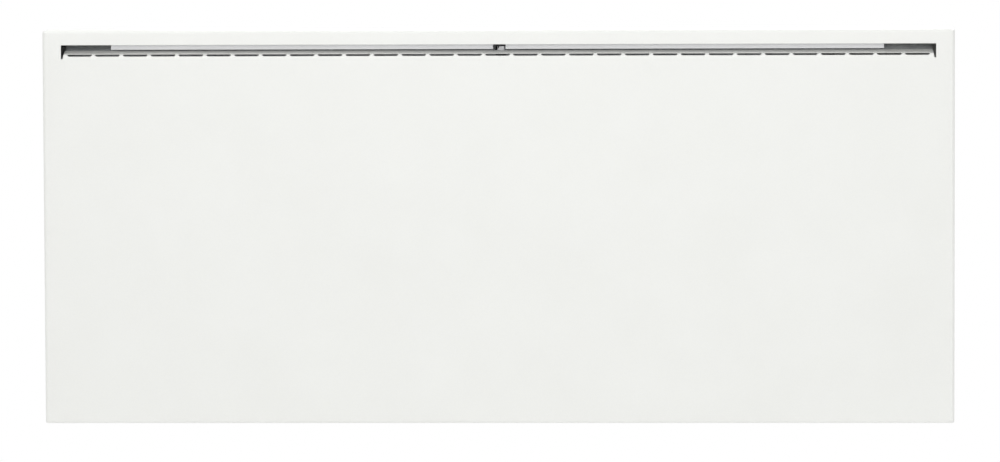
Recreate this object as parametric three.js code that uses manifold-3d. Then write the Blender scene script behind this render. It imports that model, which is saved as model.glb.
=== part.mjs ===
// Wall panel convector heater. Millimetres.
// The origin is the middle of the wall bracket's flat rear face, which lies against the wall.
// X runs to the right seen from the front, the heater faces -Y and Z is up.
import * as THREE from 'three';
import { mergeVertices } from 'three/addons/utils/BufferGeometryUtils.js';
import Module from 'manifold-3d';

const wasm = await Module();
wasm.setup();

// ---------------------------------------------------------------- driving dimensions

// Whole heater
const HEATER_WIDTH = 855;
const HEATER_HEIGHT = 370;
const WALL_TO_FRONT = 86;
const WALL_GAP = 20; // from the wall to the back of the rear casing
const FIT = 0.3; // clearance between pieces that sit against each other

// Front cover: a folded tray of painted sheet
const COVER_DEPTH = 44;
const COVER_SHEET = 1;
const COVER_BEND = 3; // outside radius of the folds
const BEND_STEPS = 5;

// Outlet slot in the cover, with a lip folded back from its lower edge
const SLOT_END = 17.5; // from the cover's edge to the slot's end
const SLOT_BELOW_TOP = 13.4;
const SLOT_HEIGHT = 13;
const LIP_RADIUS = 5;
const LIP_ANGLE = THREE.MathUtils.degToRad(68);
const LIP_TAIL = 6.9; // straight part behind the fold
const LIP_STEPS = 8;
const LIP_RELIEF = 1.5; // slit between the lip and the end of the slot
const LIP_TAPER = 1.3; // how far each end of the lip draws in towards the rear
const VENT_COUNT = 31;
const VENT_END = 4.365; // from the slot's end to the first pitch
const VENT_BRIDGE = 3.17; // metal between two vents
const VENT_WIDTH = 3.6;
const VENT_ANGLE = THREE.MathUtils.degToRad(50); // place of the vents round the fold

// Top rail: stiffens the cover behind the slot and hooks it under the casing
const RAIL_SHORT = 47.5; // the rail stops this far inside each end of the slot
const RAIL_OFFSET = -0.9;
const RAIL_DEPTH = 6; // behind the cover's front face
const RAIL_BELOW_SLOT = 4.6;
const RAIL_PAD = 15; // welded against the cover's top
const RAIL_HOOK = 12; // reach under the casing's top flange
const RAIL_SHEET = 1;
const NOTCH_WIDTH = 11.7;
const NOTCH_X = 1.5;

// Rear casing: the tray behind the works
const CASING_SHEET = 0.8;
const CASING_BEND = 2;
const CASING_FRONT = 24; // depth of its front edge behind the cover's front face

// Air inlets through the bottom, and the grille over them
const INLET_COUNT = 10;
const INLET_END = 37.5; // from the heater's end to the first pitch
const INLET_BRIDGE = 12;
const FRONT_INLET = 8; // depth at which each row of inlets starts
const FRONT_INLET_WIDTH = 13;
const MIDDLE_INLET = 27;
const MIDDLE_INLET_WIDTH = 14;
const REAR_INLET = 47;
const REAR_INLET_WIDTH = 15;
const GRILLE_END = 27.5;
const GRILLE_SHEET = 0.8;
const GRILLE_FRONT = 4;
const GRILLE_SLOT_LENGTH = 46;
const GRILLE_SLOT_WIDTH = 3.2;
const GRILLE_PITCH_X = 52;
const GRILLE_PITCH_Y = 9;
const GRILLE_ROWS = 6;

// Air duct: the sloping guide behind the lip, and the box round the heating element
const DUCT_SHEET = 0.8;
const DUCT_DEPTH = 31; // its front wall, behind the cover's front face
const DUCT_INSET = 27.5; // from the heater's left end
const COMPARTMENT_WIDTH = 127.5; // for the electrical parts, to the right of the duct
const DUCT_BOTTOM = -150;
const DUCT_SIDE_TOP = 150;
const DUCT_FOOT = 12;
const GUIDE_GAP = 1.1; // dark joint between the lip and the guide
const GUIDE_SLOPE = THREE.MathUtils.degToRad(21);
const GUIDE_SHORT = 3.4; // the guide stops this far inside each end of the slot
const GUIDE_SLIT = 11; // passage for the release tongue
const GROMMET_HOLE = 5; // for the element's lead

// Reflector behind the element
const REFLECTOR_SHEET = 0.6;
const REFLECTOR_MARGIN = 15;
const REFLECTOR_TOP = 10;

// Heating element: a rod in a finned aluminium section
const ELEMENT_DEPTH = 48;
const ELEMENT_Z = -95;
const ELEMENT_MARGIN = 26; // from the duct's end wall to the rod's end
const FIN_SPREAD = 24; // front to back
const FIN_HEIGHT = 60;
const FIN_SHEET = 1.6;
const FIN_FOOT = 6; // folded edge at the tip of each fin
const FIN_SHORT = 24; // the fins stop this far from the rod's end
const HUB_RADIUS = 7;
const ROD_RADIUS = 4;
const ROD_PIN_RADIUS = 1.5;
const ROD_PIN_LENGTH = 11;
const BUSH_RADIUS = 8.5;
const BUSH_LENGTH = 16;
const BUSH_INSET = 5; // from the rod's end to the bush
const CRADLE_SHEET = 1.5;
const CRADLE_HEIGHT = 44;
const CRADLE_FRONT = 12; // metal in front of the bush's centre
const CRADLE_FOOT = 12;

// Thermal cut-out in the warm air above the element
const CUTOUT_INSET = 90; // from the duct's right end
const CUTOUT_Z = 60;
const CUTOUT_RADIUS = 8;
const CUTOUT_HEIGHT = 9;
const CUTOUT_PLATE = 1;
const CUTOUT_PLATE_LENGTH = 30;
const BLADE_LENGTH = 6; // push-on terminals here and on the rocker's socket
const BLADE_WIDTH = 4;
const BLADE_SHEET = 0.8;

// Control panel in the casing's top flange, behind the cover
const PANEL_INSET = 61.5; // from the heater's right end to its middle
const PANEL_LENGTH = 96;
const PANEL_WIDTH = 15;
const PANEL_DEPTH = 55; // its middle, behind the cover's front face
const PANEL_SHEET = 2;
const BOX_WALL = 1.5;
const BOX_HEIGHT = 32;
const BOARD_SHEET = 1.6;
const BOARD_DROP = 10; // from the top of the panel to the top of the board
const LENS_OFFSET = -30; // from the panel's middle
const LENS_LENGTH = 24;
const LENS_WIDTH = 8;
const DISPLAY_LENGTH = 22;
const DISPLAY_WIDTH = 7;
const BUTTON_OFFSET = 2; // the first of three, from the panel's middle
const BUTTON_PITCH = 15;
const BUTTON_RADIUS = 3.9;
const BUTTON_COLLAR = 1;
const BUTTON_COLLAR_HEIGHT = 0.9;
const BUTTON_PROUD = 0.25;
const BUTTON_TRAVEL = 0.6;
const KEY_SIDE = 6;
const KEY_BODY = 3.4;
const KEY_PLUNGER_RADIUS = 1.7;
const KEY_CLEARANCE = 0.2; // left under a button that is fully pressed
const RELAY_OFFSET = -29;
const RELAY_LENGTH = 20;
const RELAY_WIDTH = 11;
const RELAY_HEIGHT = 14;

// Mains rocker in the casing's right side
const ROCKER_DEPTH = 55;
const ROCKER_Z = -10;
const ROCKER_LENGTH = 17;
const ROCKER_WIDTH = 10;
const ROCKER_RISE = 5.3; // from its pivot to the tips of its face
const ROCKER_DISH = 1.1; // how far the middle of the face lies below its tips
const ROCKER_TILT = THREE.MathUtils.degToRad(7);
const ROCKER_PLAY = 0.9;
const ROCKER_PIVOT = 1.5;
const ROCKER_SINK = 0.2; // its highest tip below the bezel's face
const SOCKET_WALL = 1.2;
const SOCKET_DEPTH = 17;
const BEZEL_RIM = 1.6;
const BEZEL_SHEET = 1;

// Terminal block, cable gland and room sensor in the right-hand compartment
const BLOCK_INSET = 82.5; // from the heater's right end
const BLOCK_Z = -60;
const BLOCK_LENGTH = 40;
const BLOCK_HEIGHT = 18;
const BLOCK_THICKNESS = 14;
const BLOCK_WAYS = 3;
const BLOCK_WAY_RADIUS = 3;
const GLAND_INSET = 82.5;
const GLAND_Z = -105;
const GLAND_RADIUS = 8;
const GLAND_BORE = 4;
const GLAND_HEX = 11;
const GLAND_HEAD = 7;
const GLAND_REACH = 14; // thread inside the casing
const GLAND_NUT = 5;
const SEAL_LENGTH = 5;
const SEAL_WALL = 1.6;
const SENSOR_INSET = 47.5;
const SENSOR_RADIUS = 2.5;
const SENSOR_LENGTH = 14;
const SENSOR_RISE = 14;
const CLIP_SHEET = 1;
const CLIP_WIDTH = 8;

// Leads inside the casing
const LEAD_RADIUS = 1.4;
const LEAD_SIDES = 6;
const LEAD_ENTRY = 5; // length inside a terminal
const BOARD_LEAD_OFFSET = -12; // from the panel's middle
const SENSOR_LEAD_OFFSET = 24;
const SENSOR_LEAD_RADIUS = 1;
const CUTOUT_LEAD_RISE = 11; // above the floor of the control housing
const LOW_RUN_DROP = 16; // lead to the element's left end, below the duct
const FRONT_RUN = 5; // leads pass this far in front of the gland's thread
const STUD_INSET = 42.5;
const STUD_Z = -40;
const STUD_RADIUS = 2;
const STUD_NUT = 4;
const STUD_LENGTH = 12;
const GROMMET_FLANGE = 2;
const GROMMET_LENGTH = 5;

// Wall bracket: an H of folded sheet with a middle upright
const BRACKET_SHEET = 1.5;
const BRACKET_ARM_X = 180;
const ARM_WIDTH = 36;
const ARM_TOP = 140;
const ARM_BOTTOM = -164;
const ARM_FOLD = 10;
const FOLD_BOTTOM = -150;
const BEAM_HEIGHT = 44;
const UPRIGHT_WIDTH = 34;
const KEYHOLE_RADIUS = 5;
const KEYHOLE_SLOT = 2.6;
const KEYHOLE_RISE = 9;
const KEYHOLE_INSET = 24;
const LOWER_SCREW_Z = -70;

// Lower hangers: pins on the heater that sit in open hooks of the bracket
const PIVOT_Y = -12.5;
const PIVOT_Z = -140;
const PIN_RADIUS = 3;
const PIN_PLAY = 0.3;
const PIN_LENGTH = 26;
const HOOK_SHEET = 2;
const HOOK_NOSE = 2; // metal round the notch
const HOOK_MOUTH = 5; // height of the nose above the pin's centre
const HANGER_GAP = 15; // between a hanger's cheeks
const HANGER_SHEET = 1.5;
const HANGER_HEIGHT = 22;
const HANGER_REACH = 5; // cheek behind the pin's centre
const HANGER_FLANGE = 8;

// Rubber spacers that stop the heater leaning back
const SPACER_Z = 100;
const SPACER_RADIUS = 9;
const SPACER_TIP = 6;

// Release tongue in the rail's notch, its guide and its spring
const TONGUE_X = 2.6;
const TONGUE_WIDTH = 6;
const TONGUE_SHEET = 3;
const TONGUE_DEPTH = 11.4; // front of its flap behind the cover's front face
const TONGUE_FLAP = 1.2;
const FLAP_WIDTH = 7;
const FLAP_SHOULDER = 2.4; // slanting shoulder on the flap's left
const FLAP_DROP = 4.2;
const TONGUE_BELOW_SLOT = 2.2;
const TONGUE_END_Y = -12;
const TONGUE_TRAVEL = 3;
const GUIDE_BLOCK_LENGTH = 14;
const GUIDE_BLOCK_WALL = 2;
const GUIDE_FLOOR_DROP = 14;
const SPRING_RADIUS = 2.3;
const SPRING_WIRE = 0.45;
const SPRING_TURNS = 6;

// Catch: a leaf spring on the bracket that holds a tab on the casing
const TAB_X = -6;
const TAB_WIDTH = 8;
const TAB_SHEET = 1.2;
const TAB_END_Y = -9;
const TAB_LIP = 4;
const LEAF_WIDTH = 24;
const LEAF_SHEET = 0.8;
const LEAF_LENGTH = 46;
const LEAF_HOOK_Y = -14.5;
const LEAF_HOOK_RISE = 4.5;
const LEAF_STEP = 7;
const RIVET_RADIUS = 2;
const RIVET_HEAD = 3.6;
const RIVET_HEAD_HEIGHT = 1.4;
const RIVET_PITCH = 14;
const RIVET_INSET = 8;

// Cover screws, up through the bottom flanges
const SCREW_RADIUS = 1.7;
const SCREW_HEAD = 3.4;
const SCREW_HEAD_HEIGHT = 1.5;
const SCREW_LENGTH = 8;
const SCREW_DEPTH = 34;
const SCREW_WEBS = [-4, 0, 4]; // webs between the inlets that take a screw

// ---------------------------------------------------------------- places worked out from them

const halfWidth = HEATER_WIDTH / 2;
const halfHeight = HEATER_HEIGHT / 2;
const depth = (d) => d - WALL_TO_FRONT; // y of a point d behind the cover's front face
const fromRight = (inset) => halfWidth - inset; // x of a point inset from the heater's right end
const coverBackY = depth(COVER_DEPTH);
const ceilingZ = halfHeight - COVER_SHEET;
const slotTopZ = halfHeight - SLOT_BELOW_TOP;
const slotBottomZ = slotTopZ - SLOT_HEIGHT;
const slotWidth = HEATER_WIDTH - 2 * SLOT_END;
const ventPitch = (slotWidth - 2 * VENT_END) / VENT_COUNT;
const ventLength = ventPitch - VENT_BRIDGE;
const lipHalf = slotWidth / 2 - LIP_RELIEF;
const inletPitch = (HEATER_WIDTH - 2 * INLET_END) / INLET_COUNT;
const inletLength = inletPitch - INLET_BRIDGE;

const casingHalfX = halfWidth - COVER_SHEET - FIT;
const casingHalfZ = halfHeight - COVER_SHEET - FIT;
const casingBackY = -WALL_GAP;
const casingWallY = casingBackY - CASING_SHEET; // inside of its back wall
const casingFrontY = depth(CASING_FRONT);
const casingTopZ = casingHalfZ - CASING_SHEET; // underside of its top flange
const casingFloorZ = -casingTopZ;
const casingSideX = casingHalfX - CASING_SHEET; // inside of its right flange

const lipTailY = LIP_TAIL * Math.sin(LIP_ANGLE);
const lipTailZ = LIP_TAIL * Math.cos(LIP_ANGLE);
const lipBackDepth = LIP_RADIUS * (1 - Math.cos(LIP_ANGLE)) + lipTailY;
const lipBackZ = slotBottomZ + LIP_RADIUS * Math.sin(LIP_ANGLE) + lipTailZ;

const ductWallY = depth(DUCT_DEPTH);
const ductFootY = casingWallY - FIT;
const reflectorY = ductFootY - REFLECTOR_SHEET; // its front
const guideFrontY = depth(lipBackDepth + GUIDE_GAP);
const guideTopZ = lipBackZ + Math.tan(GUIDE_SLOPE) * (ductWallY - guideFrontY);

const tongueTopZ = slotTopZ - TONGUE_BELOW_SLOT;
const tongueBottomZ = tongueTopZ - TONGUE_SHEET;
const leafTipZ = tongueBottomZ - FIT;
const leafRootZ = leafTipZ - LEAF_HOOK_RISE - LEAF_STEP - LEAF_LENGTH;

const ductLeft = DUCT_INSET - halfWidth;
const ductRight = fromRight(COMPARTMENT_WIDTH);
const elementY = depth(ELEMENT_DEPTH);
const rodLeft = ductLeft + ELEMENT_MARGIN;
const rodRight = ductRight - ELEMENT_MARGIN;

const panelX = fromRight(PANEL_INSET);
const panelY = depth(PANEL_DEPTH);
const lensX = panelX + LENS_OFFSET;
const relayX = panelX + RELAY_OFFSET;
const boardLeadX = panelX + BOARD_LEAD_OFFSET;
const sensorLeadX = panelX + SENSOR_LEAD_OFFSET;
const cutoutX = ductRight - CUTOUT_INSET;
const blockX = fromRight(BLOCK_INSET);
const glandX = fromRight(GLAND_INSET);
const sensorX = fromRight(SENSOR_INSET);
const studX = fromRight(STUD_INSET);
const boardTopZ = casingHalfZ - BOARD_DROP;
const boxHalfX = PANEL_LENGTH / 2 + FIT + BOX_WALL;
const boxHalfY = PANEL_WIDTH / 2 + FIT + BOX_WALL;
const boxTopZ = casingTopZ - FIT;
const boxFloorZ = boxTopZ - BOX_HEIGHT;

// ---------------------------------------------------------------- solids

// A closed geometry as a solid, its faces turned outwards
function solidOf(geometry) {
  const bare = new THREE.BufferGeometry();
  bare.setAttribute('position', geometry.getAttribute('position'));
  if (geometry.index) bare.setIndex(geometry.index);
  const merged = mergeVertices(bare, 1e-4);
  const corners = merged.index.array;
  const point = merged.getAttribute('position');
  const [a, b, c] = [new THREE.Vector3(), new THREE.Vector3(), new THREE.Vector3()];
  const triangles = [];
  let volume = 0;
  for (let i = 0; i < corners.length; i += 3) {
    const [p, q, r] = corners.slice(i, i + 3);
    if (p === q || q === r || r === p) continue;
    a.fromBufferAttribute(point, p);
    b.fromBufferAttribute(point, q);
    c.fromBufferAttribute(point, r);
    volume += a.dot(b.cross(c));
    triangles.push(p, q, r);
  }
  if (volume < 0) triangles.reverse();
  return new wasm.Manifold(new wasm.Mesh({
    numProp: 3,
    vertProperties: Float32Array.from(point.array),
    triVerts: Uint32Array.from(triangles),
  }));
}

function geometryOf(solid) {
  const { vertProperties, triVerts } = solid.getMesh();
  const geometry = new THREE.BufferGeometry();
  geometry.setAttribute('position', new THREE.BufferAttribute(vertProperties, 3));
  geometry.setIndex(new THREE.BufferAttribute(triVerts, 1));
  geometry.computeVertexNormals();
  return geometry;
}

const joined = (first, ...rest) => rest.reduce((whole, next) => whole.add(next), first);
const cut = (first, ...rest) => rest.reduce((whole, next) => whole.subtract(next), first);

function extruded(points, length) {
  const shape = new THREE.Shape(points.map(([u, v]) => new THREE.Vector2(u, v)));
  return new THREE.ExtrudeGeometry(shape, { depth: length, bevelEnabled: false });
}

// An outline of [y, z] points between two places along X
function alongX(points, from, to) {
  const turn = new THREE.Matrix4().set(0, 0, 1, from, 1, 0, 0, 0, 0, 1, 0, 0, 0, 0, 0, 1);
  return solidOf(extruded(points, to - from).applyMatrix4(turn));
}

// An outline of [x, z] points between two places along Y
function alongY(points, from, to) {
  return solidOf(extruded(points, to - from).rotateX(Math.PI / 2).translate(0, to, 0));
}

// An outline of [x, y] points between two places along Z
function alongZ(points, from, to) {
  return solidOf(extruded(points, to - from).translate(0, 0, from));
}

function box(left, right, front, back, bottom, top) {
  const block = new THREE.BoxGeometry(right - left, back - front, top - bottom);
  block.translate((left + right) / 2, (front + back) / 2, (bottom + top) / 2);
  return solidOf(block);
}

function rodX(radius, from, to, y, z, sides = 20) {
  const rod = new THREE.CylinderGeometry(radius, radius, to - from, sides);
  return solidOf(rod.rotateZ(Math.PI / 2).translate((from + to) / 2, y, z));
}

function rodY(radius, from, to, x, z, sides = 20) {
  const rod = new THREE.CylinderGeometry(radius, radius, to - from, sides);
  return solidOf(rod.translate(x, (from + to) / 2, z));
}

function rodZ(radius, from, to, x, y, sides = 20) {
  const rod = new THREE.CylinderGeometry(radius, radius, to - from, sides);
  return solidOf(rod.rotateX(Math.PI / 2).translate(x, y, (from + to) / 2));
}

// A turned piece about Z, from a profile of [radius, z] points
function turned(profile, sides = 20) {
  const points = profile.map(([r, z]) => new THREE.Vector2(r, z));
  return solidOf(new THREE.LatheGeometry(points, sides).rotateX(Math.PI / 2));
}

// A round lead along a smooth curve through a few points
function lead(points, radius = LEAD_RADIUS) {
  const path = new THREE.CatmullRomCurve3(points.map((p) => new THREE.Vector3(...p)));
  const section = new THREE.Shape();
  section.absarc(0, 0, radius, 0, 2 * Math.PI);
  const steps = 4 * (points.length - 1);
  const curveSegments = LEAD_SIDES / 2;
  const settings = { steps, curveSegments, bevelEnabled: false, extrudePath: path };
  return solidOf(new THREE.ExtrudeGeometry(section, settings));
}

// The outline of a folded tray: open at one y, shut at the other, with its two folds rounded
function trayOutline(half, openY, shutY, radius) {
  const inward = Math.sign(openY - shutY);
  const corner = [];
  for (let i = 0; i <= BEND_STEPS; i += 1) {
    const a = (Math.PI / 2) * (i / BEND_STEPS);
    corner.push([shutY + inward * radius * (1 - Math.sin(a)), half - radius * (1 - Math.cos(a))]);
  }
  const mirrored = corner.map(([y, across]) => [y, -across]).reverse();
  return [[openY, half], ...corner, ...mirrored, [openY, -half]];
}

function trayBlock(halfX, halfZ, openY, shutY, radius) {
  const upright = alongX(trayOutline(halfZ, openY, shutY, radius), -halfX, halfX);
  const plan = trayOutline(halfX, openY, shutY, radius).map(([y, x]) => [x, y]);
  return upright.intersect(alongZ(plan, -halfZ, halfZ));
}

// A folded tray of sheet: the block less what is inside the sheet
function tray(halfX, halfZ, openY, shutY, radius, sheet) {
  const inward = Math.sign(openY - shutY);
  const beyond = openY + inward;
  const inner = trayBlock(halfX - sheet, halfZ - sheet, beyond, shutY + inward * sheet, radius - sheet);
  return trayBlock(halfX, halfZ, openY, shutY, radius).subtract(inner);
}

// ---------------------------------------------------------------- scene graph

const finish = (color, roughness, metalness) => (
  () => new THREE.MeshStandardMaterial({ color, roughness, metalness })
);
const whitePaint = finish(0xf2f3ef, 0.45, 0);
const innerPaint = finish(0xe2e3e6, 0.5, 0);
const greyPaint = finish(0xc9ccce, 0.5, 0.1);
const galvanised = finish(0xb9bdc0, 0.42, 0.8);
const brightAluminium = finish(0xd6d8da, 0.28, 0.95);
const rodSheath = finish(0x2e2d2c, 0.6, 0.6);
const ceramic = finish(0xe9e2d2, 0.7, 0);
const springSteel = finish(0x8d9196, 0.3, 0.9);
const zincSteel = finish(0xc4c6c4, 0.35, 0.85);
const whitePlastic = finish(0xeceded, 0.5, 0);
const blackPlastic = finish(0x1f2022, 0.45, 0);
const greenBoard = finish(0x2e6b45, 0.5, 0);
const smokedLens = finish(0x15181c, 0.12, 0);
const blackRubber = finish(0x232323, 0.85, 0);
const brass = finish(0xc9a85c, 0.35, 0.9);
const whiteSheath = finish(0xe6e6e2, 0.55, 0);
const darkSheath = finish(0x1c1c1e, 0.5, 0);
const greenSheath = finish(0x2f7a3a, 0.5, 0);

const heaterAssembly = new THREE.Group();
const bracketGroup = new THREE.Group();
const heaterGroup = new THREE.Group();
heaterAssembly.add(bracketGroup, heaterGroup);

function piece(group, name, solid, material, place = [0, 0, 0]) {
  const mesh = new THREE.Mesh(geometryOf(solid), material());
  mesh.name = name;
  mesh.position.set(...place);
  group.add(mesh);
  return mesh;
}

// ---------------------------------------------------------------- front cover

function lip() {
  const centreY = depth(LIP_RADIUS);
  const sheetLine = (radius) => {
    const line = [[centreY - radius, slotBottomZ - LIP_RADIUS]];
    for (let i = 0; i <= LIP_STEPS; i += 1) {
      const a = LIP_ANGLE * (i / LIP_STEPS);
      line.push([centreY - radius * Math.cos(a), slotBottomZ + radius * Math.sin(a)]);
    }
    const [endY, endZ] = line.at(-1);
    line.push([endY + lipTailY, endZ + lipTailZ]);
    return line;
  };
  const outline = [...sheetLine(LIP_RADIUS), ...sheetLine(LIP_RADIUS - COVER_SHEET).reverse()];
  const backZ = lipBackZ + COVER_SHEET;
  const taper = [[lipHalf, slotBottomZ], [lipHalf + 1, backZ], [lipHalf - LIP_TAPER, backZ]];
  const mirroredTaper = taper.map(([x, z]) => [-x, z]);
  const lipRegion = [depth(0), depth(lipBackDepth + COVER_SHEET)];
  return cut(
    alongX(outline, -lipHalf, lipHalf),
    alongY(taper, ...lipRegion),
    alongY(mirroredTaper, ...lipRegion),
  );
}

// One rounded vent, cut square to the lip's fold
function vent(x) {
  const end = VENT_WIDTH / 2;
  const shape = new THREE.Shape();
  shape.absarc(ventLength / 2 - end, 0, end, -Math.PI / 2, Math.PI / 2);
  shape.absarc(end - ventLength / 2, 0, end, Math.PI / 2, 1.5 * Math.PI);
  const through = 4 * COVER_SHEET;
  const settings = { depth: through, curveSegments: 2, bevelEnabled: false };
  const cutter = new THREE.ExtrudeGeometry(shape, settings).translate(0, 0, -through / 2);
  const middle = LIP_RADIUS - COVER_SHEET / 2;
  cutter.rotateX(Math.PI / 2 - VENT_ANGLE);
  cutter.translate(
    x,
    depth(LIP_RADIUS) - middle * Math.cos(VENT_ANGLE),
    slotBottomZ + middle * Math.sin(VENT_ANGLE),
  );
  return solidOf(cutter);
}

// A row of inlet windows through a bottom flange
function inletRow(startDepth, width, bottomZ, topZ) {
  const windows = [];
  for (let i = 0; i < INLET_COUNT; i += 1) {
    const x = (i - (INLET_COUNT - 1) / 2) * inletPitch;
    windows.push(box(
      x - inletLength / 2, x + inletLength / 2,
      depth(startDepth), depth(startDepth + width), bottomZ, topZ,
    ));
  }
  return windows;
}

const screwXs = SCREW_WEBS.map((web) => web * inletPitch);
const screwY = depth(SCREW_DEPTH);

function frontCover() {
  const sheet = tray(halfWidth, halfHeight, coverBackY, depth(0), COVER_BEND, COVER_SHEET);
  const slot = box(
    -slotWidth / 2, slotWidth / 2,
    depth(-COVER_SHEET), depth(2 * COVER_SHEET), slotBottomZ, slotTopZ,
  );
  const vents = [];
  for (let i = 0; i < VENT_COUNT; i += 1) {
    vents.push(vent((i - (VENT_COUNT - 1) / 2) * ventPitch));
  }
  const below = -halfHeight - COVER_SHEET;
  const above = -halfHeight + 2 * COVER_SHEET;
  const screwHoles = screwXs.map((x) => rodZ(SCREW_RADIUS + FIT, below, above, x, screwY, 12));
  return cut(
    sheet.subtract(slot).add(lip()),
    ...vents,
    ...inletRow(FRONT_INLET, FRONT_INLET_WIDTH, below, above),
    ...inletRow(MIDDLE_INLET, MIDDLE_INLET_WIDTH, below, above),
    ...screwHoles,
  );
}

piece(heaterGroup, 'front_cover', frontCover(), whitePaint);

// ---------------------------------------------------------------- top rail

function topRail() {
  const frontY = depth(RAIL_DEPTH);
  const topZ = ceilingZ - FIT;
  const hookTopZ = casingTopZ - FIT;
  const stepY = casingFrontY - FIT - RAIL_SHEET;
  const outline = [
    [frontY, slotTopZ - RAIL_BELOW_SLOT],
    [frontY, topZ],
    [stepY, topZ],
    [stepY, hookTopZ],
    [casingFrontY + RAIL_HOOK, hookTopZ],
    [casingFrontY + RAIL_HOOK, hookTopZ - RAIL_SHEET],
    [frontY + RAIL_PAD, hookTopZ - RAIL_SHEET],
    [frontY + RAIL_PAD, topZ - RAIL_SHEET],
    [frontY + RAIL_SHEET, topZ - RAIL_SHEET],
    [frontY + RAIL_SHEET, slotTopZ - RAIL_BELOW_SLOT],
  ];
  const half = slotWidth / 2 - RAIL_SHORT;
  const notch = box(
    NOTCH_X - NOTCH_WIDTH / 2, NOTCH_X + NOTCH_WIDTH / 2,
    frontY - RAIL_SHEET, frontY + 2 * RAIL_SHEET, slotTopZ - 2 * RAIL_BELOW_SLOT, slotTopZ + RAIL_SHEET,
  );
  return cut(alongX(outline, RAIL_OFFSET - half, RAIL_OFFSET + half), notch);
}

piece(heaterGroup, 'top_rail', topRail(), innerPaint);

// ---------------------------------------------------------------- rear casing

const tongueSlitLeft = TONGUE_X - GUIDE_SLIT / 2;
const tongueSlitRight = TONGUE_X + GUIDE_SLIT / 2;
const panelWindowX = PANEL_LENGTH / 2 + FIT;
const panelWindowY = PANEL_WIDTH / 2 + FIT;
const rockerY = depth(ROCKER_DEPTH);
const socketHalfY = ROCKER_WIDTH / 2 + ROCKER_PLAY + SOCKET_WALL;
const socketHalfZ = ROCKER_LENGTH / 2 + ROCKER_PLAY + SOCKET_WALL;

function rearCasing() {
  const sheet = tray(casingHalfX, casingHalfZ, casingFrontY, casingBackY, CASING_BEND, CASING_SHEET);
  const below = -casingHalfZ - CASING_SHEET;
  const above = casingFloorZ + CASING_SHEET;
  const throughBack = [casingWallY - CASING_SHEET, casingBackY + CASING_SHEET];
  const tongueSlit = box(
    tongueSlitLeft, tongueSlitRight, ...throughBack,
    tongueBottomZ - TONGUE_TRAVEL - 2 * FIT, tongueTopZ + 2 * FIT,
  );
  const panelWindow = box(
    panelX - panelWindowX, panelX + panelWindowX,
    panelY - panelWindowY, panelY + panelWindowY, casingTopZ - CASING_SHEET, casingHalfZ + CASING_SHEET,
  );
  const rockerWindow = box(
    casingSideX - CASING_SHEET, casingHalfX + CASING_SHEET,
    rockerY - socketHalfY - FIT, rockerY + socketHalfY + FIT,
    ROCKER_Z - socketHalfZ - FIT, ROCKER_Z + socketHalfZ + FIT,
  );
  return cut(
    sheet,
    ...inletRow(MIDDLE_INLET, MIDDLE_INLET_WIDTH, below, above),
    ...inletRow(REAR_INLET, REAR_INLET_WIDTH, below, above),
    ...screwXs.map((x) => rodZ(SCREW_RADIUS + FIT, below, above, x, screwY, 12)),
    tongueSlit,
    panelWindow,
    rockerWindow,
    rodY(GLAND_RADIUS + FIT, ...throughBack, glandX, GLAND_Z),
  );
}

piece(heaterGroup, 'rear_casing', rearCasing(), greyPaint);

// ---------------------------------------------------------------- inlet grille

const grilleBottomZ = casingFloorZ + FIT;
const grilleTopZ = grilleBottomZ + GRILLE_SHEET;
const grilleWidth = HEATER_WIDTH - 2 * GRILLE_END;

function inletGrille() {
  const backY = casingBackY - CASING_BEND;
  const slots = [];
  const columns = Math.floor((grilleWidth - GRILLE_PITCH_X) / GRILLE_PITCH_X);
  const middleY = (depth(GRILLE_FRONT) + backY) / 2;
  for (let column = 0; column < columns; column += 1) {
    const x = (column - (columns - 1) / 2) * GRILLE_PITCH_X;
    for (let row = 0; row < GRILLE_ROWS; row += 1) {
      const y = middleY + (row - (GRILLE_ROWS - 1) / 2) * GRILLE_PITCH_Y;
      slots.push(box(
        x - GRILLE_SLOT_LENGTH / 2, x + GRILLE_SLOT_LENGTH / 2,
        y - GRILLE_SLOT_WIDTH / 2, y + GRILLE_SLOT_WIDTH / 2,
        grilleBottomZ - GRILLE_SHEET, grilleTopZ + GRILLE_SHEET,
      ));
    }
  }
  const screwRoom = screwXs.map((x) => rodZ(
    SCREW_RADIUS + FIT, grilleBottomZ - GRILLE_SHEET, grilleTopZ + GRILLE_SHEET, x, screwY, 12,
  ));
  const sheet = box(
    -grilleWidth / 2, grilleWidth / 2, depth(GRILLE_FRONT), backY, grilleBottomZ, grilleTopZ,
  );
  return cut(sheet, ...slots, ...screwRoom);
}

piece(heaterGroup, 'inlet_grille', inletGrille(), galvanised);

// ---------------------------------------------------------------- air duct

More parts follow.
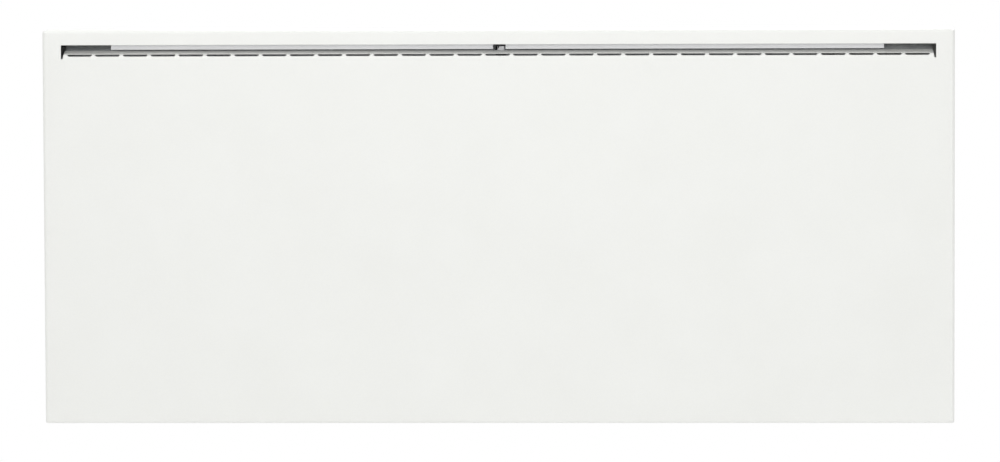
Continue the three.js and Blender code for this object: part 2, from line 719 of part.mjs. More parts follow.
function airDuct() {
  const slopeHalf = slotWidth / 2 - GUIDE_SHORT;
  const lowZ = lipBackZ - DUCT_SHEET;
  const slope = alongX([
    [guideFrontY, lipBackZ],
    [guideFrontY, lowZ],
    [ductWallY, guideTopZ - DUCT_SHEET],
    [ductWallY + DUCT_SHEET, guideTopZ - DUCT_SHEET],
    [ductWallY + DUCT_SHEET, guideTopZ],
    [ductWallY, guideTopZ],
  ], -slopeHalf, slopeHalf);
  const frontWall = box(
    ductLeft, ductRight, ductWallY, ductWallY + DUCT_SHEET, DUCT_BOTTOM, guideTopZ - DUCT_SHEET / 2,
  );
  const end = (x, outward) => {
    const inside = x - outward * DUCT_SHEET;
    const sides = [x, inside].sort((a, b) => a - b);
    const foot = [inside, x + outward * DUCT_FOOT].sort((a, b) => a - b);
    return joined(
      box(...sides, ductWallY, ductFootY, DUCT_BOTTOM, DUCT_SIDE_TOP),
      box(...foot, ductFootY - DUCT_SHEET, ductFootY, DUCT_BOTTOM, DUCT_SIDE_TOP),
    );
  };
  const tonguePassage = box(
    tongueSlitLeft, tongueSlitRight,
    guideFrontY - DUCT_SHEET, ductWallY + 2 * DUCT_SHEET,
    tongueBottomZ - TONGUE_TRAVEL - FLAP_DROP, guideTopZ + DUCT_SHEET,
  );
  const grommetHole = rodX(
    GROMMET_HOLE, ductRight - 2 * DUCT_SHEET, ductRight + DUCT_SHEET, elementY, ELEMENT_Z,
  );
  return cut(
    joined(slope, frontWall, end(ductLeft, -1), end(ductRight, 1)),
    tonguePassage,
    grommetHole,
  );
}

piece(heaterGroup, 'air_duct', airDuct(), galvanised);

piece(heaterGroup, 'reflector', box(
  ductLeft + REFLECTOR_MARGIN, ductRight - REFLECTOR_MARGIN,
  reflectorY, ductFootY, DUCT_BOTTOM, REFLECTOR_TOP,
), brightAluminium);

// ---------------------------------------------------------------- heating element

const finsLeft = rodLeft + FIN_SHORT;
const finsRight = rodRight - FIN_SHORT;

// The finned section: two crossed plates with folded edges round a hub
function elementFins() {
  const halfY = FIN_SPREAD / 2;
  const halfZ = FIN_HEIGHT / 2;
  const lean = Math.atan2(halfY, halfZ);
  const across = FIN_SHEET / 2 / Math.cos(lean);
  const plate = (side) => alongX([
    [elementY + side * halfY - across, ELEMENT_Z + halfZ],
    [elementY + side * halfY + across, ELEMENT_Z + halfZ],
    [elementY - side * halfY + across, ELEMENT_Z - halfZ],
    [elementY - side * halfY - across, ELEMENT_Z - halfZ],
  ], finsLeft, finsRight);
  const foot = (side, end) => box(
    finsLeft, finsRight,
    elementY + side * halfY - FIN_FOOT / 2, elementY + side * halfY + FIN_FOOT / 2,
    ELEMENT_Z + end * halfZ - FIN_SHEET / 2, ELEMENT_Z + end * halfZ + FIN_SHEET / 2,
  );
  return cut(
    joined(
      rodX(HUB_RADIUS, finsLeft, finsRight, elementY, ELEMENT_Z),
      plate(1), plate(-1), foot(1, 1), foot(1, -1), foot(-1, 1), foot(-1, -1),
    ),
    rodX(ROD_RADIUS + FIT, finsLeft - 1, finsRight + 1, elementY, ELEMENT_Z),
  );
}

piece(heaterGroup, 'element_fins', elementFins(), brightAluminium);

piece(heaterGroup, 'element_rod', joined(
  rodX(ROD_RADIUS, rodLeft, rodRight, elementY, ELEMENT_Z),
  rodX(ROD_PIN_RADIUS, rodLeft - ROD_PIN_LENGTH, rodRight + ROD_PIN_LENGTH, elementY, ELEMENT_Z, 12),
), rodSheath);

// Ceramic bushes on the rod's ends, each held by a sheet cradle screwed through the reflector
function elementCradle(outward) {
  const backY = reflectorY - FIT;
  const halfX = CRADLE_SHEET / 2;
  const halfZ = CRADLE_HEIGHT / 2;
  const foot = [-outward * halfX, outward * CRADLE_FOOT].sort((a, b) => a - b);
  return cut(
    joined(
      box(-halfX, halfX, -CRADLE_FRONT, backY - elementY, -halfZ, halfZ),
      box(...foot, backY - elementY - CRADLE_SHEET, backY - elementY, -halfZ, halfZ),
    ),
    rodX(BUSH_RADIUS + FIT, -CRADLE_SHEET, CRADLE_SHEET, 0, 0),
  );
}

for (const [side, rodEnd, outward] of [['left', rodLeft, -1], ['right', rodRight, 1]]) {
  const half = BUSH_LENGTH / 2;
  const bush = cut(
    rodX(BUSH_RADIUS, -half, half, 0, 0),
    rodX(ROD_RADIUS + FIT, -BUSH_LENGTH, BUSH_LENGTH, 0, 0),
  );
  const place = [rodEnd - outward * (BUSH_INSET + half), elementY, ELEMENT_Z];
  piece(heaterGroup, `element_bush_${side}`, bush, ceramic, place);
  piece(heaterGroup, `element_cradle_${side}`, elementCradle(outward), galvanised, place);
}

// ---------------------------------------------------------------- thermal cut-out

const cutoutPlateY = ductFootY - CUTOUT_PLATE;
const cutoutFrontY = cutoutPlateY - FIT - CUTOUT_HEIGHT;
const bladeX = cutoutX + CUTOUT_RADIUS / 2;
const bladeEndY = cutoutFrontY - BLADE_LENGTH;

piece(heaterGroup, 'cutout_plate', box(
  cutoutX - CUTOUT_PLATE_LENGTH / 2, cutoutX + CUTOUT_PLATE_LENGTH / 2,
  cutoutPlateY, ductFootY, CUTOUT_Z - CUTOUT_RADIUS, CUTOUT_Z + CUTOUT_RADIUS,
), zincSteel);

function thermalCutout() {
  const blade = (x) => box(
    x - BLADE_WIDTH / 2, x + BLADE_WIDTH / 2, cutoutFrontY - BLADE_LENGTH, cutoutFrontY + FIT,
    CUTOUT_Z - BLADE_SHEET / 2, CUTOUT_Z + BLADE_SHEET / 2,
  );
  return joined(
    rodY(CUTOUT_RADIUS, cutoutFrontY, cutoutPlateY - FIT, cutoutX, CUTOUT_Z),
    blade(bladeX),
    blade(2 * cutoutX - bladeX),
  );
}

piece(heaterGroup, 'thermal_cutout', thermalCutout(), blackPlastic);

// ---------------------------------------------------------------- control panel

const panelUnderZ = casingHalfZ - PANEL_SHEET;
const boardUnderZ = boardTopZ - BOARD_SHEET;
const buttonXs = [0, 1, 2].map((i) => panelX + BUTTON_OFFSET + i * BUTTON_PITCH);
const buttonNames = ['minus', 'mode', 'plus'];
const cutoutLeadZ = boxFloorZ + BOX_WALL + CUTOUT_LEAD_RISE;

function controlHousing() {
  const [innerX, innerY] = [boxHalfX - BOX_WALL, boxHalfY - BOX_WALL];
  const [left, right] = [panelX - boxHalfX, panelX + boxHalfX];
  const hole = LEAD_RADIUS + FIT;
  const floor = [boxFloorZ - BOX_WALL, boxFloorZ + 2 * BOX_WALL];
  return cut(
    box(left, right, panelY - boxHalfY, panelY + boxHalfY, boxFloorZ, boxTopZ),
    box(
      panelX - innerX, panelX + innerX, panelY - innerY, panelY + innerY,
      boxFloorZ + BOX_WALL, boxTopZ + BOX_WALL,
    ),
    rodZ(hole, ...floor, boardLeadX, panelY, 12),
    rodZ(hole, ...floor, sensorLeadX, panelY, 12),
    rodX(hole, left - BOX_WALL, left + 2 * BOX_WALL, panelY, cutoutLeadZ, 12),
  );
}

piece(heaterGroup, 'control_housing', controlHousing(), whitePlastic);

function controlPanel() {
  const windowX = LENS_LENGTH / 2 + FIT;
  const windowY = LENS_WIDTH / 2 + FIT;
  const [below, above] = [panelUnderZ - PANEL_SHEET, casingHalfZ + PANEL_SHEET];
  return cut(
    box(
      panelX - PANEL_LENGTH / 2, panelX + PANEL_LENGTH / 2,
      panelY - PANEL_WIDTH / 2, panelY + PANEL_WIDTH / 2, panelUnderZ, casingHalfZ,
    ),
    box(lensX - windowX, lensX + windowX, panelY - windowY, panelY + windowY, below, above),
    ...buttonXs.map((x) => rodZ(BUTTON_RADIUS + FIT, below, above, x, panelY)),
  );
}

piece(heaterGroup, 'control_panel', controlPanel(), whitePlastic);

piece(heaterGroup, 'display_lens', box(
  lensX - LENS_LENGTH / 2, lensX + LENS_LENGTH / 2,
  panelY - LENS_WIDTH / 2, panelY + LENS_WIDTH / 2, panelUnderZ, casingHalfZ,
), smokedLens);

piece(heaterGroup, 'display_module', box(
  lensX - DISPLAY_LENGTH / 2, lensX + DISPLAY_LENGTH / 2,
  panelY - DISPLAY_WIDTH / 2, panelY + DISPLAY_WIDTH / 2, boardTopZ + FIT, panelUnderZ - FIT,
), blackPlastic);

piece(heaterGroup, 'control_board', box(
  panelX - PANEL_LENGTH / 2, panelX + PANEL_LENGTH / 2,
  panelY - PANEL_WIDTH / 2, panelY + PANEL_WIDTH / 2, boardUnderZ, boardTopZ,
), greenBoard);

piece(heaterGroup, 'relay', box(
  relayX - RELAY_LENGTH / 2, relayX + RELAY_LENGTH / 2,
  panelY - RELAY_WIDTH / 2, panelY + RELAY_WIDTH / 2,
  boardUnderZ - FIT - RELAY_HEIGHT, boardUnderZ - FIT,
), blackPlastic);

// Buttons with a collar that keeps them under the panel, each above a key switch on the board
const collarTopZ = panelUnderZ - FIT;
const collarBottomZ = collarTopZ - BUTTON_COLLAR_HEIGHT;
const plungerTopZ = collarBottomZ - BUTTON_TRAVEL - KEY_CLEARANCE;

function button() {
  const collarRadius = BUTTON_RADIUS + BUTTON_COLLAR;
  const topZ = casingHalfZ + BUTTON_PROUD;
  return turned([
    [0, collarBottomZ], [collarRadius, collarBottomZ], [collarRadius, collarTopZ],
    [BUTTON_RADIUS, collarTopZ], [BUTTON_RADIUS, topZ - BUTTON_PROUD],
    [BUTTON_RADIUS - BUTTON_PROUD, topZ], [0, topZ],
  ]);
}

function keySwitch() {
  const bottomZ = boardTopZ + FIT;
  const half = KEY_SIDE / 2;
  return joined(
    box(-half, half, -half, half, bottomZ, bottomZ + KEY_BODY),
    rodZ(KEY_PLUNGER_RADIUS, bottomZ + KEY_BODY / 2, plungerTopZ, 0, 0, 12),
  );
}

buttonNames.forEach((name, i) => {
  const place = [buttonXs[i], panelY, 0];
  piece(heaterGroup, `button_${name}`, button(), whitePlastic, place);
  piece(heaterGroup, `key_switch_${name}`, keySwitch(), blackPlastic, place);
});

// ---------------------------------------------------------------- mains rocker

const bezelFaceX = casingHalfX + FIT + BEZEL_SHEET;
const rockerReach = (
  ROCKER_RISE * Math.cos(ROCKER_TILT) + (ROCKER_LENGTH / 2) * Math.sin(ROCKER_TILT)
);
const rockerPivotX = bezelFaceX - ROCKER_SINK - rockerReach;
const socketBackX = casingSideX - SOCKET_DEPTH;

function rockerSocket() {
  const rimY = socketHalfY + BEZEL_RIM;
  const rimZ = socketHalfZ + BEZEL_RIM;
  const wellY = socketHalfY - SOCKET_WALL;
  const wellZ = socketHalfZ - SOCKET_WALL;
  const wellFloorX = rockerPivotX - ROCKER_RISE;
  const blade = box(
    socketBackX - BLADE_LENGTH, socketBackX + FIT,
    rockerY - BLADE_WIDTH / 2, rockerY + BLADE_WIDTH / 2,
    ROCKER_Z - BLADE_SHEET / 2, ROCKER_Z + BLADE_SHEET / 2,
  );
  return cut(
    joined(
      box(
        socketBackX, bezelFaceX, rockerY - socketHalfY, rockerY + socketHalfY,
        ROCKER_Z - socketHalfZ, ROCKER_Z + socketHalfZ,
      ),
      box(
        casingHalfX + FIT, bezelFaceX, rockerY - rimY, rockerY + rimY,
        ROCKER_Z - rimZ, ROCKER_Z + rimZ,
      ),
      blade,
    ),
    box(
      wellFloorX, bezelFaceX + BEZEL_SHEET, rockerY - wellY, rockerY + wellY,
      ROCKER_Z - wellZ, ROCKER_Z + wellZ,
    ),
  );
}

piece(heaterGroup, 'rocker_socket', rockerSocket(), blackPlastic);

// Profile in x and z about its pivot, standing tilted with its upper end out
function mainsRocker() {
  const half = ROCKER_LENGTH / 2;
  const skirtX = ROCKER_RISE / 2;
  const keelX = -ROCKER_RISE / 2;
  const outline = [
    [keelX, -half / 4], [skirtX, -half], [ROCKER_RISE, -half], [ROCKER_RISE - ROCKER_DISH, 0],
    [ROCKER_RISE, half], [skirtX, half], [keelX, half / 4],
  ];
  const halfY = ROCKER_WIDTH / 2;
  const pinY = halfY + ROCKER_PLAY - FIT;
  return joined(
    alongY(outline, -halfY, halfY),
    rodY(ROCKER_PIVOT, -pinY, pinY, 0, 0, 16),
  );
}

const rocker = piece(
  heaterGroup, 'mains_rocker', mainsRocker(), blackPlastic, [rockerPivotX, rockerY, ROCKER_Z],
);
rocker.rotation.y = ROCKER_TILT;

// ---------------------------------------------------------------- terminal block and gland

const blockY = ductFootY - BLOCK_THICKNESS / 2;
const wayXs = [-1, 0, 1].map((i) => blockX + (i * BLOCK_LENGTH) / BLOCK_WAYS);
const blockTopZ = BLOCK_Z + BLOCK_HEIGHT / 2;
const blockBottomZ = BLOCK_Z - BLOCK_HEIGHT / 2;

piece(heaterGroup, 'terminal_block', cut(
  box(
    blockX - BLOCK_LENGTH / 2, blockX + BLOCK_LENGTH / 2,
    ductFootY - BLOCK_THICKNESS, ductFootY, blockBottomZ, blockTopZ,
  ),
  ...wayXs.map((x) => rodZ(BLOCK_WAY_RADIUS, blockBottomZ - 1, blockTopZ + 1, x, blockY, 12)),
), whitePlastic);

const glandOuterY = casingBackY + FIT + GLAND_HEAD;
const sealRadius = GLAND_BORE + SEAL_WALL;

piece(heaterGroup, 'cable_gland', cut(
  joined(
    rodY(GLAND_HEX, casingBackY + FIT, glandOuterY, glandX, GLAND_Z, 6),
    rodY(GLAND_RADIUS, casingWallY - GLAND_REACH, casingBackY + 2 * FIT, glandX, GLAND_Z),
  ),
  rodY(sealRadius + FIT, casingWallY - GLAND_REACH - 1, glandOuterY + 1, glandX, GLAND_Z),
), blackPlastic);

piece(heaterGroup, 'gland_nut', cut(
  rodY(GLAND_HEX, casingWallY - FIT - GLAND_NUT, casingWallY - FIT, glandX, GLAND_Z, 6),
  rodY(GLAND_RADIUS + FIT, casingWallY - 2 * GLAND_NUT, casingWallY, glandX, GLAND_Z),
), blackPlastic);

piece(heaterGroup, 'gland_seal', cut(
  rodY(sealRadius, glandOuterY - SEAL_LENGTH, glandOuterY, glandX, GLAND_Z),
  rodY(GLAND_BORE, glandOuterY - 2 * SEAL_LENGTH, glandOuterY + 1, glandX, GLAND_Z),
), blackRubber);

piece(heaterGroup, 'earth_stud', joined(
  rodY(STUD_RADIUS, ductFootY - STUD_LENGTH, ductFootY, studX, STUD_Z, 12),
  rodY(STUD_NUT, ductFootY - STUD_NUT, ductFootY, studX, STUD_Z, 6),
), brass);

// ---------------------------------------------------------------- room sensor

const sensorBottomZ = grilleTopZ + SENSOR_RISE;
const sensorTopZ = sensorBottomZ + SENSOR_LENGTH;

piece(heaterGroup, 'room_sensor', rodZ(
  SENSOR_RADIUS, sensorBottomZ, sensorTopZ, sensorX, panelY, 12,
), blackPlastic);

function sensorClip() {
  const [left, right] = [sensorX - CLIP_WIDTH / 2, sensorX + CLIP_WIDTH / 2];
  const shelfZ = (sensorBottomZ + sensorTopZ) / 2;
  return cut(
    joined(
      box(left, right, panelY - CLIP_WIDTH / 2, ductFootY, shelfZ, shelfZ + CLIP_SHEET),
      box(left, right, ductFootY - CLIP_SHEET, ductFootY, shelfZ, shelfZ + CLIP_WIDTH),
    ),
    rodZ(SENSOR_RADIUS + FIT, shelfZ - 1, shelfZ + 2 * CLIP_SHEET, sensorX, panelY, 12),
  );
}

piece(heaterGroup, 'sensor_clip', sensorClip(), springSteel);

// ---------------------------------------------------------------- leads

piece(heaterGroup, 'duct_grommet', cut(
  joined(
    rodX(GROMMET_HOLE - FIT, ductRight - GROMMET_LENGTH / 2, ductRight + GROMMET_LENGTH / 2,
      elementY, ELEMENT_Z),
    rodX(GROMMET_HOLE + GROMMET_FLANGE, ductRight - GROMMET_LENGTH / 2,
      ductRight - DUCT_SHEET - FIT, elementY, ELEMENT_Z),
    rodX(GROMMET_HOLE + GROMMET_FLANGE, ductRight + FIT, ductRight + GROMMET_LENGTH / 2,
      elementY, ELEMENT_Z),
  ),
  rodX(LEAD_RADIUS + FIT, ductRight - GROMMET_LENGTH, ductRight + GROMMET_LENGTH,
    elementY, ELEMENT_Z, 12),
), blackRubber);

const [wayOne, wayTwo, wayThree] = wayXs;
const entryZ = blockBottomZ + LEAD_ENTRY;
const exitZ = blockTopZ - LEAD_ENTRY;
const boardEndZ = boardUnderZ - FIT;
const pinRight = rodRight + ROD_PIN_LENGTH + FIT;
const pinLeft = rodLeft - ROD_PIN_LENGTH - FIT;
const lowRunZ = DUCT_BOTTOM - LOW_RUN_DROP;
const frontRunY = casingWallY - GLAND_REACH - FRONT_RUN;

piece(heaterGroup, 'element_lead_right', lead([
  [pinRight, elementY, ELEMENT_Z], [ductRight, elementY, ELEMENT_Z],
  [ductRight + 8, elementY, ELEMENT_Z], [wayOne - 12, blockY - 6, ELEMENT_Z + 3],
  [wayOne, blockY, blockBottomZ - 12], [wayOne, blockY, blockBottomZ - 4], [wayOne, blockY, entryZ],
]), whiteSheath);

piece(heaterGroup, 'element_lead_left', lead([
  [pinLeft, elementY, ELEMENT_Z], [pinLeft - 3, elementY, ELEMENT_Z],
  [pinLeft - 7, elementY, ELEMENT_Z - 4], [pinLeft - 9, elementY, ELEMENT_Z - 20],
  [pinLeft - 8, elementY, DUCT_BOTTOM + 8],
  [pinLeft + 6, elementY, lowRunZ + 4], [pinLeft + 30, elementY, lowRunZ],
  [0, elementY, lowRunZ], [ductRight - 20, elementY, lowRunZ],
  [ductRight + 20, frontRunY, lowRunZ + 24], [glandX - 4, frontRunY, GLAND_Z - 10],
  [wayTwo, frontRunY, GLAND_Z + 6], [wayTwo, blockY - 2, blockBottomZ - 9],
  [wayTwo, blockY, blockBottomZ - 3], [wayTwo, blockY, entryZ],
]), whiteSheath);

piece(heaterGroup, 'board_lead', lead([
  [wayTwo, blockY, exitZ], [wayTwo, blockY, blockTopZ + 12],
  [boardLeadX, panelY, blockTopZ + 60], [boardLeadX, panelY, boxFloorZ - 30],
  [boardLeadX, panelY, boxFloorZ], [boardLeadX, panelY, boardEndZ],
]), whiteSheath);

piece(heaterGroup, 'switch_lead', lead([
  [wayOne, blockY, exitZ], [wayOne, blockY, blockTopZ + 9],
  [wayTwo, frontRunY - 6, ROCKER_Z - 16], [socketBackX - 34, frontRunY - 6, ROCKER_Z - 2],
  [socketBackX - BLADE_LENGTH - 6, rockerY - 1, ROCKER_Z],
  [socketBackX - BLADE_LENGTH - FIT, rockerY, ROCKER_Z],
]), darkSheath);

piece(heaterGroup, 'earth_lead', lead([
  [wayThree, blockY, exitZ], [wayThree, blockY, blockTopZ + 5],
  [wayThree + 9, blockY, STUD_Z + 3], [studX - STUD_NUT - FIT, ductFootY - STUD_NUT / 2, STUD_Z],
]), greenSheath);

piece(heaterGroup, 'cutout_lead', lead([
  [bladeX, bladeEndY - FIT, CUTOUT_Z], [bladeX, bladeEndY - 3, CUTOUT_Z],
  [bladeX + 1, bladeEndY - 6, CUTOUT_Z + 5], [bladeX + 8, bladeEndY - 6, CUTOUT_Z + 30],
  [ductRight - 50, elementY - 4, DUCT_SIDE_TOP - 15],
  [ductRight - 15, elementY, cutoutLeadZ - 4], [ductRight + 4, panelY, cutoutLeadZ],
  [panelX - boxHalfX, panelY, cutoutLeadZ], [panelX - boxHalfX + 3, panelY, cutoutLeadZ],
  [panelX - boxHalfX + 6, panelY, cutoutLeadZ + 4], [panelX - boxHalfX + 6, panelY, boardEndZ],
]), whiteSheath);

piece(heaterGroup, 'sensor_lead', lead([
  [sensorX, panelY, sensorTopZ + FIT], [sensorX, panelY, sensorTopZ + 14],
  [sensorX + 6, frontRunY - 17, BLOCK_Z], [sensorLeadX, frontRunY - 17, ROCKER_Z + 10],
  [sensorLeadX, elementY, ROCKER_Z + 100], [sensorLeadX, panelY, boxFloorZ - 10],
  [sensorLeadX, panelY, boxFloorZ + BOX_WALL], [sensorLeadX, panelY, boardEndZ],
], SENSOR_LEAD_RADIUS), darkSheath);

// ---------------------------------------------------------------- wall bracket

const armX = (side) => side * BRACKET_ARM_X;

// The hook under a pivot pin: a plate with an upward-open notch and a rounded nose
function hook(side) {
  const notch = PIN_RADIUS + PIN_PLAY;
  const nose = notch + HOOK_NOSE;
  const mouthZ = PIVOT_Z + HOOK_MOUTH;
  const rootY = -BRACKET_SHEET / 2;
  const arc = (radius, from, to) => {
    const points = [];
    for (let i = 0; i <= 8; i += 1) {
      const a = from + ((to - from) * i) / 8;
      points.push([PIVOT_Y + radius * Math.cos(a), PIVOT_Z + radius * Math.sin(a)]);
    }
    return points;
  };
  const outline = [
    [rootY, mouthZ + HOOK_MOUTH * 2],
    [PIVOT_Y + notch, mouthZ + HOOK_MOUTH],
    ...arc(notch, 0, -Math.PI),
    [PIVOT_Y - notch, mouthZ],
    [PIVOT_Y - nose, mouthZ],
    ...arc(nose, Math.PI, 1.5 * Math.PI),
    [rootY, PIVOT_Z - 2 * nose],
  ];
  return alongX(outline, armX(side) - HOOK_SHEET / 2, armX(side) + HOOK_SHEET / 2);
}

function keyhole(x, z) {
  const through = [-2 * BRACKET_SHEET, BRACKET_SHEET];
  return joined(
    rodY(KEYHOLE_RADIUS, ...through, x, z, 16),
    rodY(KEYHOLE_SLOT, ...through, x, z + KEYHOLE_RISE, 12),
    box(x - KEYHOLE_SLOT, x + KEYHOLE_SLOT, ...through, z, z + KEYHOLE_RISE),
  );
}

const rivetZs = [0, 1].map((i) => leafRootZ + RIVET_INSET + i * RIVET_PITCH);

function wallBracket() {
  const sheet = [-BRACKET_SHEET, 0];
  const arms = [-1, 1].flatMap((side) => {
    const [inner, outer] = [-1, 1].map((edge) => armX(side) + (edge * ARM_WIDTH) / 2);
    return [
      box(inner, outer, ...sheet, ARM_BOTTOM, ARM_TOP),
      box(inner, inner + BRACKET_SHEET, -ARM_FOLD, 0, FOLD_BOTTOM, ARM_TOP),
      box(outer - BRACKET_SHEET, outer, -ARM_FOLD, 0, FOLD_BOTTOM, ARM_TOP),
      hook(side),
    ];
  });
  const beam = box(
    -BRACKET_ARM_X, BRACKET_ARM_X, ...sheet, -BEAM_HEIGHT / 2, BEAM_HEIGHT / 2,
  );
  const upright = box(-UPRIGHT_WIDTH / 2, UPRIGHT_WIDTH / 2, ...sheet, 0, ARM_TOP);
  const holes = [-1, 1].flatMap((side) => [
    keyhole(armX(side), ARM_TOP - KEYHOLE_INSET),
    rodY(KEYHOLE_SLOT, -2 * BRACKET_SHEET, BRACKET_SHEET, armX(side), LOWER_SCREW_Z, 12),
  ]);
  const rivetHoles = rivetZs.map((z) => rodY(
    RIVET_RADIUS + FIT, -2 * BRACKET_SHEET, BRACKET_SHEET, 0, z, 12,
  ));
  return cut(joined(beam, upright, ...arms), ...holes, ...rivetHoles);
}

piece(bracketGroup, 'wall_bracket', wallBracket(), greyPaint);

// Leaf spring: up the upright, forward under the casing's tab, and up in front of the tab's lip
function catchLeaf() {
  const backY = -BRACKET_SHEET - FIT;
  const shelfZ = leafTipZ - LEAF_HOOK_RISE;
  const bendZ = shelfZ - LEAF_STEP;
  const outline = [
    [backY, leafRootZ], [backY, bendZ], [backY - LEAF_STEP, shelfZ],
    [LEAF_HOOK_Y, shelfZ], [LEAF_HOOK_Y, leafTipZ], [LEAF_HOOK_Y - LEAF_SHEET, leafTipZ],
    [LEAF_HOOK_Y - LEAF_SHEET, shelfZ - LEAF_SHEET],
    [backY - LEAF_STEP - LEAF_SHEET / 2, shelfZ - LEAF_SHEET],
    [backY - LEAF_SHEET, bendZ + LEAF_SHEET / 2], [backY - LEAF_SHEET, leafRootZ],
  ];
  const holes = rivetZs.map((z) => rodY(
    RIVET_RADIUS + FIT, backY - 2 * LEAF_SHEET, backY + LEAF_SHEET, 0, z, 12,
  ));
  return cut(alongX(outline, -LEAF_WIDTH / 2, LEAF_WIDTH / 2), ...holes);
}

piece(bracketGroup, 'catch_leaf', catchLeaf(), springSteel);

rivetZs.forEach((z, i) => {
  const headY = -BRACKET_SHEET - 2 * FIT - LEAF_SHEET;
  const rivet = joined(
    rodY(RIVET_HEAD, headY - RIVET_HEAD_HEIGHT, headY, 0, 0, 16),
    rodY(RIVET_RADIUS, headY - RIVET_HEAD_HEIGHT / 2, -FIT, 0, 0, 12),
  );
  piece(bracketGroup, `catch_rivet_${i + 1}`, rivet, zincSteel, [0, 0, z]);
});

// ---------------------------------------------------------------- hangers, pins and spacers

function lowerHanger() {
  const frontY = casingBackY + FIT - PIVOT_Y;
  const half = HANGER_HEIGHT / 2;
  const inner = HANGER_GAP / 2;
  const outer = inner + HANGER_SHEET;
  const cheek = (side) => {
    const wall = [side * inner, side * outer].sort((a, b) => a - b);
    const flange = [side * inner, side * (outer + HANGER_FLANGE)].sort((a, b) => a - b);
    return joined(
      box(...wall, frontY, HANGER_REACH, -half, half),
      box(...flange, frontY, frontY + HANGER_SHEET, -half, half),
    );
  };
  const web = box(-outer, outer, frontY, frontY + HANGER_SHEET, -half, half);
  return cut(joined(cheek(-1), cheek(1), web), rodX(PIN_RADIUS + FIT, -2 * outer, 2 * outer, 0, 0));
}

function spacer() {
  const [frontY, backY] = [casingBackY + FIT, -BRACKET_SHEET - FIT];
  const length = backY - frontY;
  const shoulder = length / 2;
  return turned([
    [0, 0], [SPACER_RADIUS, 0], [SPACER_RADIUS, shoulder], [SPACER_TIP, length], [0, length],
  ]).rotate([-90, 0, 0]).translate([0, frontY, 0]);
}

for (const [name, side] of [['left', -1], ['right', 1]]) {
  const pivot = [armX(side), PIVOT_Y, PIVOT_Z];
  const pin = rodX(PIN_RADIUS, -PIN_LENGTH / 2, PIN_LENGTH / 2, 0, 0, 24);
  piece(heaterGroup, `lower_hanger_${name}`, lowerHanger(), zincSteel, pivot);
  piece(heaterGroup, `pivot_pin_${name}`, pin, zincSteel, pivot);
  piece(heaterGroup, `spacer_${name}`, spacer(), blackRubber, [armX(side), 0, SPACER_Z]);
}

// ---------------------------------------------------------------- release tongue and catch tab

const guideHalfX = TONGUE_WIDTH / 2 + FIT + GUIDE_BLOCK_WALL;
const guideFloorZ = tongueBottomZ - GUIDE_FLOOR_DROP;
const guideBlockY = ductFootY - GUIDE_BLOCK_LENGTH;

function releaseTongue() {
  const [left, right] = [-FLAP_WIDTH / 2, FLAP_WIDTH / 2];
  const flapY = depth(TONGUE_DEPTH);
  const flapBottomZ = tongueTopZ - FLAP_DROP;
  const flap = alongY([
    [left, flapBottomZ], [right, flapBottomZ], [right, tongueTopZ], [left + FLAP_SHOULDER, tongueTopZ],
  ], flapY, flapY + TONGUE_FLAP);
  const bar = box(
    -TONGUE_WIDTH / 2, TONGUE_WIDTH / 2, flapY + TONGUE_FLAP / 2, TONGUE_END_Y,
    tongueBottomZ, tongueTopZ,
  );
  return joined(flap, bar);
}

piece(heaterGroup, 'release_tongue', releaseTongue(), innerPaint, [TONGUE_X, 0, 0]);

piece(heaterGroup, 'tongue_guide', cut(
  box(
    TONGUE_X - guideHalfX, TONGUE_X + guideHalfX, guideBlockY, ductFootY,
    guideFloorZ - GUIDE_BLOCK_WALL, tongueTopZ + FIT + GUIDE_BLOCK_WALL,
  ),
  box(
    TONGUE_X - guideHalfX + GUIDE_BLOCK_WALL, TONGUE_X + guideHalfX - GUIDE_BLOCK_WALL,
    guideBlockY - 1, ductFootY + 1, guideFloorZ, tongueTopZ + FIT,
  ),
), whitePlastic);

class Helix extends THREE.Curve {
  constructor(radius, height, turns) {
    super();
    Object.assign(this, { radius, height, turns });
  }

  getPoint(t) {
    const a = 2 * Math.PI * this.turns * t;
    return new THREE.Vector3(this.radius * Math.cos(a), this.radius * Math.sin(a), this.height * t);
  }
}

function tongueSpring() {
  const room = tongueBottomZ - guideFloorZ - 2 * (FIT + SPRING_WIRE);
  const section = new THREE.Shape();
  section.absarc(0, 0, SPRING_WIRE, 0, 2 * Math.PI);
  return solidOf(new THREE.ExtrudeGeometry(section, {
    steps: 8 * SPRING_TURNS,
    curveSegments: 3,
    bevelEnabled: false,
    extrudePath: new Helix(SPRING_RADIUS, room, SPRING_TURNS),
  }));
}

piece(heaterGroup, 'tongue_spring', tongueSpring(), springSteel, [
  TONGUE_X, (guideBlockY + ductFootY) / 2, guideFloorZ + FIT + SPRING_WIRE,
]);

function catchTab() {
  const [left, right] = [-TAB_WIDTH / 2, TAB_WIDTH / 2];
  const frontY = casingBackY + FIT;
  const underZ = leafTipZ + 2 * FIT;
  return joined(
    box(left, right, frontY, frontY + TAB_SHEET, underZ, underZ + 2 * TAB_WIDTH),
    box(left, right, frontY, TAB_END_Y, underZ, underZ + TAB_SHEET),
    box(left, right, TAB_END_Y - TAB_SHEET, TAB_END_Y, underZ - TAB_LIP, underZ + TAB_SHEET),
  );
}

piece(heaterGroup, 'catch_tab', catchTab(), zincSteel, [TAB_X, 0, 0]);

// ---------------------------------------------------------------- cover screws

function coverScrew() {
  return turned([
    [0, -SCREW_HEAD_HEIGHT], [SCREW_HEAD * 0.7, -SCREW_HEAD_HEIGHT],
    [SCREW_HEAD, -SCREW_HEAD_HEIGHT / 2], [SCREW_HEAD, 0],
    [SCREW_RADIUS, 0], [SCREW_RADIUS, SCREW_LENGTH], [0, SCREW_LENGTH],
  ], 16);
}

screwXs.forEach((x, i) => {
  piece(heaterGroup, `cover_screw_${i + 1}`, coverScrew(), zincSteel, [x, screwY, -halfHeight - FIT]);
});

export default heaterAssembly;
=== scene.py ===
import math

